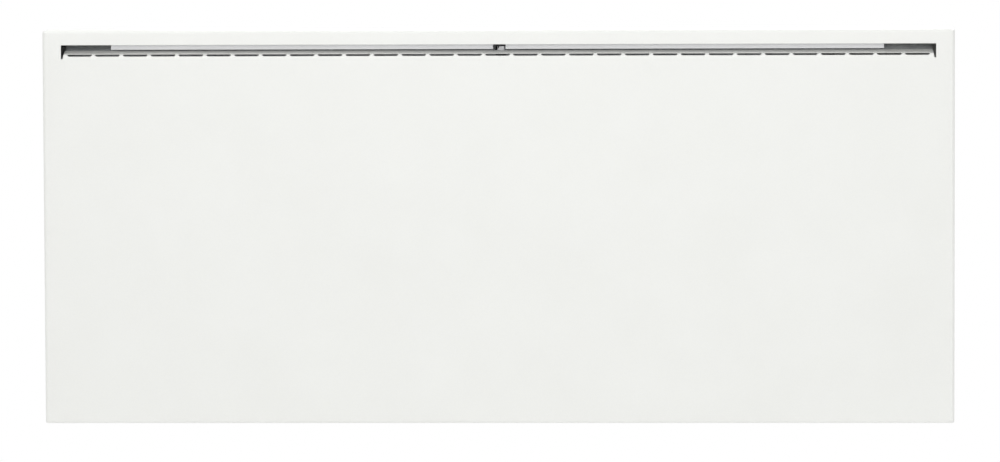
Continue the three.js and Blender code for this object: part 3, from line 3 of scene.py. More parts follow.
import bmesh
import bpy
from mathutils import Matrix, Vector


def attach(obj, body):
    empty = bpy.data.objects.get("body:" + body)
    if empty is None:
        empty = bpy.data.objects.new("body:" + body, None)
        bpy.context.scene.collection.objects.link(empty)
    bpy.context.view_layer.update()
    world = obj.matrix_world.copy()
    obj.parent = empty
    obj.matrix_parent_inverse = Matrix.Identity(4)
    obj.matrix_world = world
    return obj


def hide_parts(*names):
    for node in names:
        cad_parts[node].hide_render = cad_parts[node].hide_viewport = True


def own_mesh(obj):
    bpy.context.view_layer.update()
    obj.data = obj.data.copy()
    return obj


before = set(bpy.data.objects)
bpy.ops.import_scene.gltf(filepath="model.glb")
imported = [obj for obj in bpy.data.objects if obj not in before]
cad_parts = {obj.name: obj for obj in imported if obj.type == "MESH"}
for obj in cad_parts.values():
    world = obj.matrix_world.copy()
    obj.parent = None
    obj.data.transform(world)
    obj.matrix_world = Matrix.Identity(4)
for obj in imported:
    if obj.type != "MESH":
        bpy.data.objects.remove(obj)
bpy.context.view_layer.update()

# ---------------------------------------------------------------- camera
# The photograph is taken from six metres away with a long lens, a little to the right of the
# heater and above it. The camera looks slightly down and to the left.
PHOTO_WIDTH = 1000
FOCAL_PIXELS = 6418.2
CAMERA_PLACE = Vector((0.22687, -6.086, 0.44093))
CAMERA_YAW = 0.0375
CAMERA_PITCH = -0.0739
CAMERA_ROLL = -0.0040

camera_data = bpy.data.cameras.new("camera")
camera_data.sensor_width = 36.0
camera_data.lens = FOCAL_PIXELS / PHOTO_WIDTH * camera_data.sensor_width
camera_data.clip_start = 0.1
camera_data.clip_end = 100
camera = bpy.data.objects.new("camera", camera_data)
bpy.context.scene.collection.objects.link(camera)
world_to_lens = (
    Matrix.Rotation(CAMERA_ROLL, 3, "Y")
    @ Matrix.Rotation(-CAMERA_PITCH, 3, "X")
    @ Matrix.Rotation(-CAMERA_YAW, 3, "Z")
)
aim = world_to_lens.transposed() @ Matrix.Rotation(math.radians(90), 3, "X")
camera.matrix_world = Matrix.Translation(CAMERA_PLACE) @ aim.to_4x4()
bpy.context.scene.camera = camera

# ---------------------------------------------------------------- light and floor
# A plain white studio: a large soft lamp in front, two above, and one for the back.
# The floor lies well below the heater, which hangs on its bracket.
FLOOR_Z = -0.45
AMBIENT = 0.62
FLOOR_LIFT = 0.16
FLOOR_HALF = 6
SHADOW_REACH = (0.9, 2.0)

bpy.context.scene.view_settings.view_transform = "Standard"


def feed(tree, node, inputs):
    """Gives each input of a node its value, or the output that feeds it."""
    for name, value in inputs.items():
        if isinstance(value, bpy.types.NodeSocket):
            tree.links.new(value, node.inputs[name])
        else:
            node.inputs[name].default_value = value


def add_node(tree, kind, inputs, **settings):
    node = tree.nodes.new("ShaderNode" + kind)
    for name, value in settings.items():
        setattr(node, name, value)
    feed(tree, node, inputs)
    return node


def seen_directly(tree):
    """1 for what the camera sees, also in metal and through glass, and 0 for light."""
    path = add_node(tree, "LightPath", {})
    total = path.outputs["Is Camera Ray"]
    for ray in ("Is Glossy Ray", "Is Transmission Ray"):
        larger = add_node(tree, "Math", {0: total, 1: path.outputs[ray]}, operation="MAXIMUM")
        total = larger.outputs[0]
    return total


def soft_lamp(name, place, width, height, watts):
    lamp = bpy.data.lights.new(name, "AREA")
    lamp.shape = "RECTANGLE"
    lamp.size = width
    lamp.size_y = height
    lamp.energy = watts
    stand = bpy.data.objects.new(name, lamp)
    bpy.context.scene.collection.objects.link(stand)
    stand.location = place
    stand.rotation_euler = (-Vector(place)).to_track_quat("-Z", "Y").to_euler()


world = bpy.data.worlds.new("studio")
bpy.context.scene.world = world
world.use_nodes = True
tree = world.node_tree
level = add_node(tree, "MapRange", {
    "To Min": AMBIENT, "To Max": 1.0, "Value": seen_directly(tree),
})
feed(tree, tree.nodes["Background"], {
    "Color": (1, 1, 1, 1), "Strength": level.outputs["Result"],
})

soft_lamp("key_lamp", (0.0, -2.4, 0.45), 1.8, 1.2, 12.5)
soft_lamp("top_lamp", (-0.5, -0.6, 2.5), 1.4, 1.2, 17)
soft_lamp("side_lamp", (1.4, -0.7, 2.2), 1.2, 1.2, 4)
soft_lamp("rear_lamp", (0.6, 2.6, 1.2), 2.2, 1.6, 30)

floor_mesh = bpy.data.meshes.new("floor")
floor_mesh.from_pydata(
    [(x * FLOOR_HALF, y * FLOOR_HALF, FLOOR_Z) for x, y in ((-1, -1), (1, -1), (1, 1), (-1, 1))],
    [], [(0, 1, 2, 3)],
)
floor = bpy.data.objects.new("floor", floor_mesh)
bpy.context.scene.collection.objects.link(floor)
floor_paint = bpy.data.materials.new("floor_paint")
floor_paint.use_nodes = True
tree = floor_paint.node_tree
direct = seen_directly(tree)
lift = add_node(tree, "Math", {0: direct, 1: FLOOR_LIFT}, operation="MULTIPLY")
matt = tree.nodes["Principled BSDF"]
feed(tree, matt, {
    "Base Color": (0.86, 0.86, 0.86, 1), "Roughness": 0.8,
    "Emission Color": (1, 1, 1, 1), "Emission Strength": lift.outputs[0],
})
place = add_node(tree, "TexCoord", {})
distance = add_node(tree, "VectorMath", {0: place.outputs["Object"]}, operation="LENGTH")
away = add_node(tree, "MapRange", {
    "From Min": SHADOW_REACH[0], "From Max": SHADOW_REACH[1], "Value": distance.outputs["Value"],
}, interpolation_type="SMOOTHSTEP")
far = add_node(tree, "Math", {0: direct, 1: away.outputs["Result"]}, operation="MULTIPLY")
white = add_node(tree, "Emission", {})
fade = add_node(tree, "MixShader", {
    0: far.outputs[0], 1: matt.outputs["BSDF"], 2: white.outputs["Emission"],
})
under = add_node(tree, "NewGeometry", {})
below = add_node(tree, "Math", {0: direct, 1: under.outputs["Backfacing"]}, operation="MULTIPLY")
clear = add_node(tree, "BsdfTransparent", {})
one_sided = add_node(tree, "MixShader", {
    0: below.outputs[0], 1: fade.outputs["Shader"], 2: clear.outputs["BSDF"],
})
feed(tree, tree.nodes["Material Output"], {"Surface": one_sided.outputs["Shader"]})
floor_mesh.materials.append(floor_paint)

# ---------------------------------------------------------------- wall bracket
# An H of 1.5 mm steel sheet, powder coated grey. The long sides of its arms are folded forward,
# the arms hang on two wall screws by keyholes, and a hook is welded to the foot of each arm.
MM = 0.001
GRAIN_TO_PATCH = 60
TINT_ENDS = (0.35, 0.65)
GLOSS_ENDS = (0.3, 0.7)
RELIEF = 0.4
BRACKET_SHEET = 1.5
ARM_X = 180
ARM_HALF = 18
ARM_TOP = 140
ARM_BOTTOM = -164
ARM_BEND = 2.5
ARM_FOLD_Y = -10
FOLD_BOTTOM = -150
FOLD_RELIEF = 2.5
BEAM_HALF = 22
UPRIGHT_HALF = 17
KEYHOLE_Z = 116
KEYHOLE_RADIUS = 5
KEYHOLE_SLOT = 2.6
KEYHOLE_RISE = 9
LOWER_HOLE_Z = -70
RIVET_ZS = (116.6, 130.6)
HOOK_HALF = 1
HOOK_BACK_Y = -0.7
HOOK_MOUTH = 5
PIVOT_Y = -12.5
PIVOT_Z = -140
HOOK_NOTCH = 3.3
HOOK_NOSE = 5.3
BEAD = (108, 16, -1.6)
BEAD_X = 88


def along_x(y, z, x):
    return (x, y, z)


def along_y(x, z, y):
    return (x, y, z)


def along_z(x, y, z):
    return (x, y, z)


def arc(u, v, radius, start, sweep, steps):
    turns = [start + sweep * i / steps for i in range(steps + 1)]
    return [(u + radius * math.cos(turn), v + radius * math.sin(turn)) for turn in turns]


def ring(u, v, radius, sides=28):
    return arc(u, v, radius, 0, 2 * math.pi, sides)[:-1]


def bends(points, radius, closed=True, steps=5):
    """A line with its corners rounded; radius is one number, or one for each corner."""
    corners = [Vector(point) for point in points]
    radii = [radius] * len(corners) if isinstance(radius, (int, float)) else radius
    line = []
    for i, (corner, bend) in enumerate(zip(corners, radii)):
        if not bend or (not closed and i in (0, len(corners) - 1)):
            line.append(corner)
            continue
        back = (corners[i - 1] - corner).normalized()
        on = (corners[(i + 1) % len(corners)] - corner).normalized()
        half = back.angle(on) / 2
        middle = corner + (back + on).normalized() * (bend / math.sin(half))
        start = corner + back * (bend / math.tan(half)) - middle
        end = corner + on * (bend / math.tan(half)) - middle
        sweep = math.copysign(math.pi - 2 * half, start.cross(end))
        for step in range(steps + 1):
            line.append(middle + Matrix.Rotation(sweep * step / steps, 2) @ start)
    return line


def block(u_from, u_to, v_from, v_to, radius=0.0):
    """A rectangle with rounded corners."""
    return bends([(u_from, v_from), (u_to, v_from), (u_to, v_to), (u_from, v_to)], radius)


def around(u, v, half_u, half_v, radius):
    """A rectangle with rounded corners, given by its middle."""
    return block(u - half_u, u + half_u, v - half_v, v + half_v, radius)


def stadium(u, v, length, width, steps=8):
    """A long hole with round ends."""
    end = width / 2
    loop = []
    for side in (1, -1):
        for i in range(steps + 1):
            turn = math.pi * (i / steps - 0.5)
            loop.append((
                u + side * (length / 2 - end + end * math.cos(turn)), v + side * end * math.sin(turn),
            ))
    return loop


def folded(line, thickness):
    """The section of a sheet that follows a line, with the sheet to the line's left."""
    ways = [(b - a).normalized() for a, b in zip(line, line[1:])]
    other = []
    for point, before, after in zip(line, [ways[0], *ways], [*ways, ways[-1]]):
        way = (before + after).normalized()
        other.append(point + Vector((-way.y, way.x)) * (thickness / way.dot(before)))
    return [*line, *reversed(other)]


class Skin:
    """Faces given by their corner points, in millimetres; corners that meet are shared."""

    def __init__(self):
        self.shape = bmesh.new()

    def face(self, *points):
        corners = []
        for point in points:
            if not corners or (Vector(point) - corners[-1]).length > 0.001:
                corners.append(Vector(point))
        if (corners[0] - corners[-1]).length < 0.001:
            corners.pop()
        if len(corners) > 2:
            self.shape.faces.new([self.shape.verts.new(corner) for corner in corners])

    def grid(self, rows):
        for row, following in zip(rows, rows[1:]):
            for i in range(len(row) - 1):
                self.face(row[i], row[i + 1], following[i + 1], following[i])

    def area(self, place, level, outline, *holes):
        """A flat area with holes through it."""
        rims = []
        for loop in (outline, *holes):
            corners = [self.shape.verts.new(place(u, v, level)) for u, v in loop]
            for pair in zip(corners, corners[1:] + corners[:1]):
                rims.append(self.shape.edges.new(pair))
        bmesh.ops.triangle_fill(self.shape, use_beauty=True, edges=rims)

    def bead(self, place, level, u, v, length, width, depth, slope=3.0, steps=6):
        """A long rib pressed into the sheet, within the hole whose rim is returned."""
        loops = []
        for i in range(steps + 1):
            inset = slope * i / steps
            sunk = depth * (1 - math.cos(math.pi * i / steps)) / 2
            rim = stadium(u, v, length - 2 * inset, width - 2 * inset)
            loops.append([place(a, b, level + sunk) for a, b in rim])
        self.grid([[*loop, loop[0]] for loop in loops])
        self.face(*loops[-1])
        return stadium(u, v, length, width)

    def joined(self):
        bmesh.ops.remove_doubles(self.shape, verts=self.shape.verts, dist=0.002)
        bmesh.ops.recalc_face_normals(self.shape, faces=self.shape.faces)
        return self.shape

    def sheet(self, name, thickness, outward, *fittings):
        """The skin as a sheet with its outside where the skin is, with what is welded to it."""
        shape = self.joined()
        largest = max(shape.faces, key=lambda face: face.calc_area())
        if largest.normal.dot(Vector(outward)) < 0:
            bmesh.ops.reverse_faces(shape, faces=shape.faces)
        piece = as_object(name, shape)
        wall = piece.modifiers.new("wall", "SOLIDIFY")
        wall.thickness = thickness * MM
        wall.offset = -1
        wall.use_even_offset = True
        apply_modifiers(piece)
        if fittings:
            whole = bmesh.new()
            whole.from_mesh(piece.data)
            for fitting in fittings:
                add_shape(whole, fitting, MM)
            whole.to_mesh(piece.data)
            whole.free()
        return piece


def add_shape(whole, shape, scale=1.0):
    bmesh.ops.scale(shape, vec=(scale, scale, scale), verts=shape.verts)
    loose = bpy.data.meshes.new("loose")
    shape.to_mesh(loose)
    shape.free()
    whole.from_mesh(loose)
    bpy.data.meshes.remove(loose)


def as_object(name, *shapes):
    """Shapes drawn in millimetres, together as one piece in metres."""
    whole = bmesh.new()
    for shape in shapes:
        add_shape(whole, shape, MM)
    mesh = bpy.data.meshes.new(name)
    whole.to_mesh(mesh)
    whole.free()
    piece = bpy.data.objects.new(name, mesh)
    bpy.context.scene.collection.objects.link(piece)
    return piece


def apply_modifiers(piece):
    seen_by = bpy.context.evaluated_depsgraph_get()
    mesh = bpy.data.meshes.new_from_object(piece.evaluated_get(seen_by))
    spent, piece.data = piece.data, mesh
    piece.modifiers.clear()
    bpy.data.meshes.remove(spent)
    mesh.name = piece.name


def plate(outline, holes, start, end, place):
    """A piece cut to an outline, with its holes, between two levels."""
    skin = Skin()
    skin.area(place, start, outline, *holes)
    raised = bmesh.ops.extrude_face_region(skin.shape, geom=skin.shape.faces[:])
    top = [part for part in raised["geom"] if isinstance(part, bmesh.types.BMVert)]
    rise = Vector(place(0, 0, end)) - Vector(place(0, 0, start))
    bmesh.ops.translate(skin.shape, vec=rise, verts=top)
    bmesh.ops.recalc_face_normals(skin.shape, faces=skin.shape.faces)
    return skin.shape


def turned(profile, u, v, place, sides=40):
    """A piece turned about an axis through (u, v), from a profile of (radius, level)."""
    skin = Skin()
    rounds = []
    for i in range(sides + 1):
        turn = 2 * math.pi * (i % sides) / sides
        rounds.append([
            place(u + radius * math.cos(turn), v + radius * math.sin(turn), level)
            for radius, level in profile
        ])
    skin.grid(rounds)
    return skin.joined()


def ease_edges(piece, width, steps=2, angle=40):
    """Rounds every edge sharper than the angle and keeps flat faces flat."""
    ease = piece.modifiers.new("eased_edges", "BEVEL")
    ease.width = width * MM
    ease.segments = steps
    ease.limit_method = "ANGLE"
    ease.angle_limit = math.radians(angle)
    ease.use_clamp_overlap = False
    ease.harden_normals = True
    for polygon in piece.data.polygons:
        polygon.use_smooth = True


def surface(name, dark, light, gloss, grain, depth, metallic=0.0, stretch=(1, 1, 1), spangle=0):
    """A finish whose colour, gloss and relief follow its grain; dark and light are its tints."""
    material = bpy.data.materials.new(name)
    material.use_nodes = True
    tree = material.node_tree
    place = add_node(tree, "TexCoord", {})
    mapping = add_node(tree, "Mapping", {"Vector": place.outputs["Object"], "Scale": stretch})
    spot = mapping.outputs["Vector"]
    fine = add_node(tree, "TexNoise", {"Vector": spot, "Scale": grain, "Detail": 4})
    if spangle:
        broad = add_node(tree, "TexVoronoi", {"Vector": spot, "Scale": spangle})
        flake = add_node(tree, "SeparateColor", {"Color": broad.outputs["Color"]})
        patch = flake.outputs[0]
    else:
        broad = add_node(tree, "TexNoise", {
            "Vector": spot, "Scale": grain / GRAIN_TO_PATCH, "Detail": 2,
        })
        patch = broad.outputs["Fac"]
    blend = add_node(tree, "Mix", {"Factor": 0.5, "A": fine.outputs["Fac"], "B": patch})
    tint = add_node(tree, "ValToRGB", {"Fac": blend.outputs["Result"]})
    for element, place, colour in zip(tint.color_ramp.elements, TINT_ENDS, (dark, light)):
        element.position = place
        element.color = (*colour, 1)
    polish = add_node(tree, "MapRange", {
        "From Min": GLOSS_ENDS[0], "From Max": GLOSS_ENDS[1], "To Min": gloss[0],
        "To Max": gloss[1], "Value": blend.outputs["Result"],
    })
    relief = add_node(tree, "Bump", {
        "Strength": RELIEF, "Distance": depth * MM, "Height": fine.outputs["Fac"],
    })
    feed(tree, tree.nodes["Principled BSDF"], {
        "Metallic": metallic, "Base Color": tint.outputs["Color"],
        "Roughness": polish.outputs["Result"], "Normal": relief.outputs["Normal"],
    })
    return material


def dress(piece, material, body, slot, *solids_replaced):
    """Gives a piece its finish and hangs it on its body in place of the solids it stands for."""
    piece.data.materials.clear()
    piece.data.materials.append(material)
    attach(piece, body)
    if solids_replaced:
        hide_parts(*solids_replaced)


def finish(piece, width, material, slot, node, body="heater", **easing):
    """Eases a piece's edges and dresses it."""
    ease_edges(piece, width, **easing)
    dress(piece, material, body, slot, node)


def keyhole(x, z):
    half_opening = math.asin(KEYHOLE_SLOT / KEYHOLE_RADIUS)
    return [
        *arc(
            x, z, KEYHOLE_RADIUS, math.pi / 2 + half_opening, 2 * math.pi - 2 * half_opening, 24,
        ),
        *arc(x, z + KEYHOLE_RISE, KEYHOLE_SLOT, 0, math.pi, 12),
    ]


def hook_plate(x):
    mouth_z = PIVOT_Z + HOOK_MOUTH
    outline = [
        (HOOK_BACK_Y, mouth_z + 10), (PIVOT_Y + HOOK_NOTCH, mouth_z + 5),
        *arc(PIVOT_Y, PIVOT_Z, HOOK_NOTCH, 0, -math.pi, 12),
        (PIVOT_Y - HOOK_NOTCH, mouth_z), (PIVOT_Y - HOOK_NOSE, mouth_z),
        *arc(PIVOT_Y, PIVOT_Z, HOOK_NOSE, math.pi, math.pi / 2, 8),
        (HOOK_BACK_Y, PIVOT_Z - 2 * HOOK_NOSE),
    ]
    return plate(outline, [], x - HOOK_HALF, x + HOOK_HALF, along_x)


flat_edge = ARM_HALF - ARM_BEND
outline_points = [
    (-ARM_X - flat_edge, ARM_TOP), (-ARM_X - flat_edge, FOLD_BOTTOM),
    (-ARM_X - flat_edge, FOLD_BOTTOM - FOLD_RELIEF), (-ARM_X - ARM_HALF, FOLD_BOTTOM - FOLD_RELIEF),
    (-ARM_X - ARM_HALF, ARM_BOTTOM), (-ARM_X + ARM_HALF, ARM_BOTTOM),
    (-ARM_X + ARM_HALF, FOLD_BOTTOM - FOLD_RELIEF), (-ARM_X + flat_edge, FOLD_BOTTOM - FOLD_RELIEF),
    (-ARM_X + flat_edge, FOLD_BOTTOM), (-ARM_X + flat_edge, -BEAM_HALF),
]
outline_points += [(-x, z) for x, z in reversed(outline_points)]
outline_points += [
    (ARM_X - flat_edge, ARM_TOP), (ARM_X - flat_edge, BEAM_HALF),
    (UPRIGHT_HALF, BEAM_HALF), (UPRIGHT_HALF, ARM_TOP),
    (-UPRIGHT_HALF, ARM_TOP), (-UPRIGHT_HALF, BEAM_HALF),
    (-ARM_X + flat_edge, BEAM_HALF), (-ARM_X + flat_edge, ARM_TOP),
]
corner_radii = [0, 0, 0, 0, 4, 4, 0, 0, 0, 0]
corner_radii += list(reversed(corner_radii)) + [0, 0, 5, 4, 4, 5, 0, 0]

bracket = Skin()
bead_rims = [
    bracket.bead(along_y, 0, side * BEAD_X, 0, *BEAD) for side in (-1, 1)
]
bracket.area(
    along_y, 0, bends(outline_points, corner_radii), *bead_rims,
    *[keyhole(side * ARM_X, KEYHOLE_Z) for side in (-1, 1)],
    *[ring(side * ARM_X, LOWER_HOLE_Z, KEYHOLE_SLOT) for side in (-1, 1)],
)
for arm in (-1, 1):
    for edge in (-1, 1):
        rows = []
        for i in range(7):
            turn = math.radians(90) * i / 6
            across = flat_edge + ARM_BEND * math.sin(turn)
            rows.append((arm * ARM_X + edge * across, -ARM_BEND * (1 - math.cos(turn))))
        rows.append((arm * ARM_X + edge * ARM_HALF, ARM_FOLD_Y))
        for low, high in ((FOLD_BOTTOM, -BEAM_HALF), (-BEAM_HALF, BEAM_HALF), (BEAM_HALF, ARM_TOP)):
            bracket.grid([[(x, y, low), (x, y, high)] for x, y in rows])

wall_bracket = bracket.sheet(
    "bracket_sheet", BRACKET_SHEET, (0, 1, 0), hook_plate(-ARM_X), hook_plate(ARM_X),
)
grey_powder = surface(
    "grey_powder_coat", (0.545, 0.56, 0.57), (0.60, 0.615, 0.625), (0.46, 0.58), 700, 0.05,
)
finish(wall_bracket, 0.2, grey_powder, "grey_paint", "wall_bracket", "bracket")

# ---------------------------------------------------------------- catch leaf and its rivets
# A strip of blue-grey spring steel, riveted flat to the bracket's upright. It steps forward and
# turns up in front of the casing's tab, which it holds.
LEAF_HALF = 12
LEAF_SHEET = 0.8
LEAF_LINE = [(-1.8, 108.6), (-1.8, 154.6), (-8.8, 161.6), (-14.5, 161.6), (-14.5, 166.1)]
RIVET_FOOT_Y = -2.9

leaf_line = bends(LEAF_LINE, [0, 2, 1.5, 0.8, 0], closed=False)
leaf_holder = plate(folded(leaf_line, LEAF_SHEET), [], -LEAF_HALF, LEAF_HALF, along_x)
catch_leaf = as_object("catch_leaf_spring", leaf_holder)
spring_steel = surface(
    "spring_steel", (0.30, 0.32, 0.35), (0.42, 0.44, 0.47), (0.26, 0.38), 400, 0.01,
    metallic=1.0, stretch=(6, 1, 1),
)
finish(catch_leaf, 0.15, spring_steel, "spring_steel", "catch_leaf", "bracket")

zinc = surface(
    "zinc_plate", (0.56, 0.57, 0.54), (0.68, 0.69, 0.66), (0.28, 0.42), 900, 0.012, metallic=1.0,
)
for number, z in enumerate(RIVET_ZS, 1):
    head = [(0, -4.3), (1.6, -4.25), (2.7, -3.95), (3.4, -3.4), (3.6, RIVET_FOOT_Y)]
    stem = [(2, RIVET_FOOT_Y), (2, -0.3), (0, -0.3)]
    rivet = as_object(f"leaf_rivet_{number}", turned(head + stem, 0, z, along_y))
    finish(rivet, 0.1, zinc, "zinc_steel", f"catch_rivet_{number}", "bracket")

# ---------------------------------------------------------------- lower hangers, pins and spacers
# Two zinc-plated brackets on the casing's back each hold a pin, which rests in a hook of the
# wall bracket. Above them two rubber buffers keep the heater off the wall.
HANGER_HALF = (17, 11)
HANGER_BACK_Y = -19.7
CHEEK = (7.5, 9)
PIN_HALF = 13
PIN_RADIUS = 3
SPACER_Z = 100
BUFFER = [
    (0, -19.7), (8.5, -19.7), (9, -19.2), (9, -11.2), (8.6, -10.4), (6.5, -2.6), (5.8, -1.85),
    (2.6, -1.8), (2.2, -3.2), (0, -3.2),
]

rubber = surface("black_rubber", (0.018, 0.018, 0.019), (0.032, 0.032, 0.034), (0.62, 0.8), 1500, 0.03)
for name, side in (("left", -1), ("right", 1)):
    x = side * ARM_X
    cheek_outline = bends(
        [(HANGER_BACK_Y, PIVOT_Z - 11), (-7.5, PIVOT_Z - 11), (-7.5, PIVOT_Z + 11),
         (HANGER_BACK_Y, PIVOT_Z + 11)],
        [0, 7, 7, 0],
    )
    pin_hole = ring(PIVOT_Y, PIVOT_Z, PIN_RADIUS + 0.3)
    flange = plate(
        around(x, PIVOT_Z, *HANGER_HALF, 3.5), [], HANGER_BACK_Y, HANGER_BACK_Y + 1.5, along_y,
    )
    shapes = [flange]
    for cheek in (-1, 1):
        near, far = sorted((x + cheek * CHEEK[0], x + cheek * CHEEK[1]))
        shapes.append(plate(cheek_outline, [pin_hole], near, far, along_x))
        for z in (-6, 6):
            head = [(0, -16.8), (1.5, -17), (2.3, -17.7), (2.4, -18.3), (0, -18.3)]
            shapes.append(turned(head, x + cheek * 13.2, PIVOT_Z + z, along_y, 24))
    hanger = as_object(f"hanger_{name}", *shapes)
    finish(hanger, 0.2, zinc, "zinc_steel", f"lower_hanger_{name}")

    groove = PIN_HALF - 1.6
    pin_line = [
        (0, -PIN_HALF), (2.5, -PIN_HALF), (3, -PIN_HALF + 0.5), (3, -groove), (2.3, -groove),
        (2.3, -groove + 0.7), (3, -groove + 0.7), (3, groove - 0.7), (2.3, groove - 0.7),
        (2.3, groove), (3, groove), (3, PIN_HALF - 0.5), (2.5, PIN_HALF), (0, PIN_HALF),
    ]
    pin = as_object(
        f"hanger_pin_{name}",
        turned([(r, x + level) for r, level in pin_line], PIVOT_Y, PIVOT_Z, along_x),
    )
    finish(pin, 0.08, zinc, "zinc_steel", f"pivot_pin_{name}")

    buffer = as_object(f"wall_buffer_{name}", turned(BUFFER, x, SPACER_Z, along_y, 48))
    finish(buffer, 0.3, rubber, "black_rubber", f"spacer_{name}", steps=3, angle=30)

# ---------------------------------------------------------------- rear casing
# A shallow tray of 0.8 mm steel with two pressed ribs, powder coated grey. It carries all the
# works, the duct is riveted into it, and its flanges sit inside the front cover.
CASING_SHEET = 0.8
CASING_HALF_X = 426.2
CASING_HALF_Z = 183.7
CASING_BACK_Y = -20
SEAT_Y = -21.1
CASING_FRONT_Y = -62
CASING_BEND = 2
CASING_CORNER = 1
CASING_RIB = (-45, 640, 13, 1.5)
CASING_RIB_ZS = (62, -62)
FOLD_STEPS = 8
CORNER_STEPS = 5
TONGUE_SLIT = (-2.9, 8.1, 162.8, 170)
GLAND_PLACE = (345, -105)
GLAND_HOLE = 8.3
PANEL_MIDDLE = (366, -31)
PANEL_WINDOW = (48.3, 7.8)
ROCKER_PLACE = (-31, -10)
ROCKER_WINDOW = (7.4, 10.9)
HEATER_WIDTH = 855
INLETS = 10
INLET_END = 37.5
INLET_BRIDGE = 12
INLET_CORNER = 2
CASING_INLETS = ((-59, -45), (-39, -24))
DUCT_RIVET_XS = (-406, 306)
DUCT_RIVET_ZS = (-135, -50, 30, 135)

inlet_pitch = (HEATER_WIDTH - 2 * INLET_END) / INLETS
inlet_length = inlet_pitch - INLET_BRIDGE
inlet_centres = [(i - (INLETS - 1) / 2) * inlet_pitch for i in range(INLETS)]
inlet_lines = [-INLETS * inlet_pitch / 2]
for centre in inlet_centres:
    inlet_lines += [
        centre - inlet_length / 2 + INLET_CORNER, centre + inlet_length / 2 - INLET_CORNER,
        centre + inlet_pitch / 2,
    ]


def fold_line(face_y, way, radius):
    """The curve of a fold as (inset from the outline, y), from the face backwards."""
    rows = []
    for i in range(FOLD_STEPS + 1):
        turn = math.radians(90) * i / FOLD_STEPS
        rows.append((radius * (1 - math.sin(turn)), face_y + way * radius * (1 - math.cos(turn))))
    return rows


def tray_sides(skin, half_x, half_z, corner, rows, sides):
    """The folded sides of a tray; each side has the lines that cross it and its number of rows."""
    for name, side in (("left", -1), ("right", 1)):
        lines, count = sides[name]
        skin.grid([[(side * (half_x - inset), y, z) for z in (
            max(corner, inset) - half_z, *lines, half_z - max(corner, inset),
        )] for inset, y in rows[:count]])
    for name, end in (("bottom", -1), ("top", 1)):
        lines, count = sides[name]
        skin.grid([[(x, y, end * (half_z - inset)) for x in (
            max(corner, inset) - half_x, *lines, half_x - max(corner, inset),
        )] for inset, y in rows[:count]])
    for side in (-1, 1):
        for end in (-1, 1):
            grid = []
            for inset, y in rows:
                radius, reach = max(corner - inset, 0), max(corner, inset)
                turns = [math.radians(90) * i / CORNER_STEPS for i in range(CORNER_STEPS + 1)]
                grid.append([(
                    side * (half_x - reach + radius * math.cos(turn)), y,
                    end * (half_z - reach + radius * math.sin(turn)),
                ) for turn in turns])
            skin.grid(grid)


def window_rows(middle, half, corner, steps):
    """Rows across a window with round corners: (place across it, inset of its end there)."""
    rows = []
    for side in (-1, 1):
        for i in range(steps + 1):
            turn = math.radians(90) * (i / steps if side > 0 else 1 - i / steps)
            across = half - corner + corner * math.sin(turn)
            rows.append((middle + side * across, corner * (1 - math.cos(turn))))
    return rows


def pierced_band(skin, point, centres, pitch, length, corner, rows, edges):
    """A band with one window in each pitch. Rows of windows go from rows[0] to rows[-1]."""
    first, last = edges
    straight = length / 2 - corner
    for centre in centres:
        for (s, inset), (t, later) in zip(rows, rows[1:]):
            for side in (-1, 1):
                near, far = centre + side * (length / 2 - inset), centre + side * (length / 2 - later)
                edge = centre + side * pitch / 2
                skin.face(point(edge, s), point(near, s), point(far, t), point(edge, t))
        lines = [centre - pitch / 2, centre - straight, centre + straight, centre + pitch / 2]
        for s, t in ((first, rows[0][0]), (rows[-1][0], last)):
            skin.grid([[point(x, s) for x in lines], [point(x, t) for x in lines]])


def inlet_strip(skin, z, half_x, corner, inner, windows, y_from, y_to):
    """A bottom flange with its rows of inlets, from y_from to y_to."""
    at = y_from
    outer = [corner - half_x, -inner, *inlet_lines, inner, half_x - corner]
    for start, end in windows:
        rows = window_rows((start + end) / 2, (end - start) / 2, INLET_CORNER, 3)
        edges = (start - 0.8, end + 0.8)
        skin.grid([[(x, y, z) for x in outer] for y in (at, edges[0])])
        pierced_band(
            skin, lambda x, y: (x, y, z), inlet_centres, inlet_pitch, inlet_length, INLET_CORNER,
            rows, edges,
        )
        for side in (-1, 1):
            ends = [side * inlet_lines[-1], side * inner, side * (half_x - corner)]
            skin.grid([[(x, y, z) for x in ends] for y in (edges[0], *[y for y, _ in rows], edges[1])])
        at = edges[1]
    skin.grid([[(x, y, z) for x in outer] for y in (at, y_to)])


casing = Skin()
inner_x, inner_z = CASING_HALF_X - CASING_BEND, CASING_HALF_Z - CASING_BEND
rib_x, rib_length, rib_width, rib_depth = CASING_RIB
casing.area(
    along_y, CASING_BACK_Y,
    [(x, -inner_z) for x in (-inner_x, *inlet_lines, inner_x)] + [(inner_x, inner_z), (-inner_x, inner_z)],
    block(*TONGUE_SLIT, 0.5),
    ring(*GLAND_PLACE, GLAND_HOLE),
    *[casing.bead(along_y, CASING_BACK_Y, rib_x, z, rib_length, rib_width, rib_depth)
      for z in CASING_RIB_ZS],
)
casing_rows = fold_line(CASING_BACK_Y, -1, CASING_BEND) + [(0, CASING_FRONT_Y)]
fold_only = len(casing_rows) - 1
tray_sides(casing, CASING_HALF_X, CASING_HALF_Z, CASING_CORNER, casing_rows, {
    "left": ([], len(casing_rows)), "right": ([], fold_only),
    "top": ([], fold_only), "bottom": ([-inner_x, *inlet_lines, inner_x], fold_only),
})
fold_end_y = CASING_BACK_Y - CASING_BEND
casing.area(
    along_z, CASING_HALF_Z,
    block(CASING_CORNER - CASING_HALF_X, CASING_HALF_X - CASING_CORNER, CASING_FRONT_Y, fold_end_y),
    around(*PANEL_MIDDLE, *PANEL_WINDOW, 1.2),
)
rocker_y, rocker_z = ROCKER_PLACE
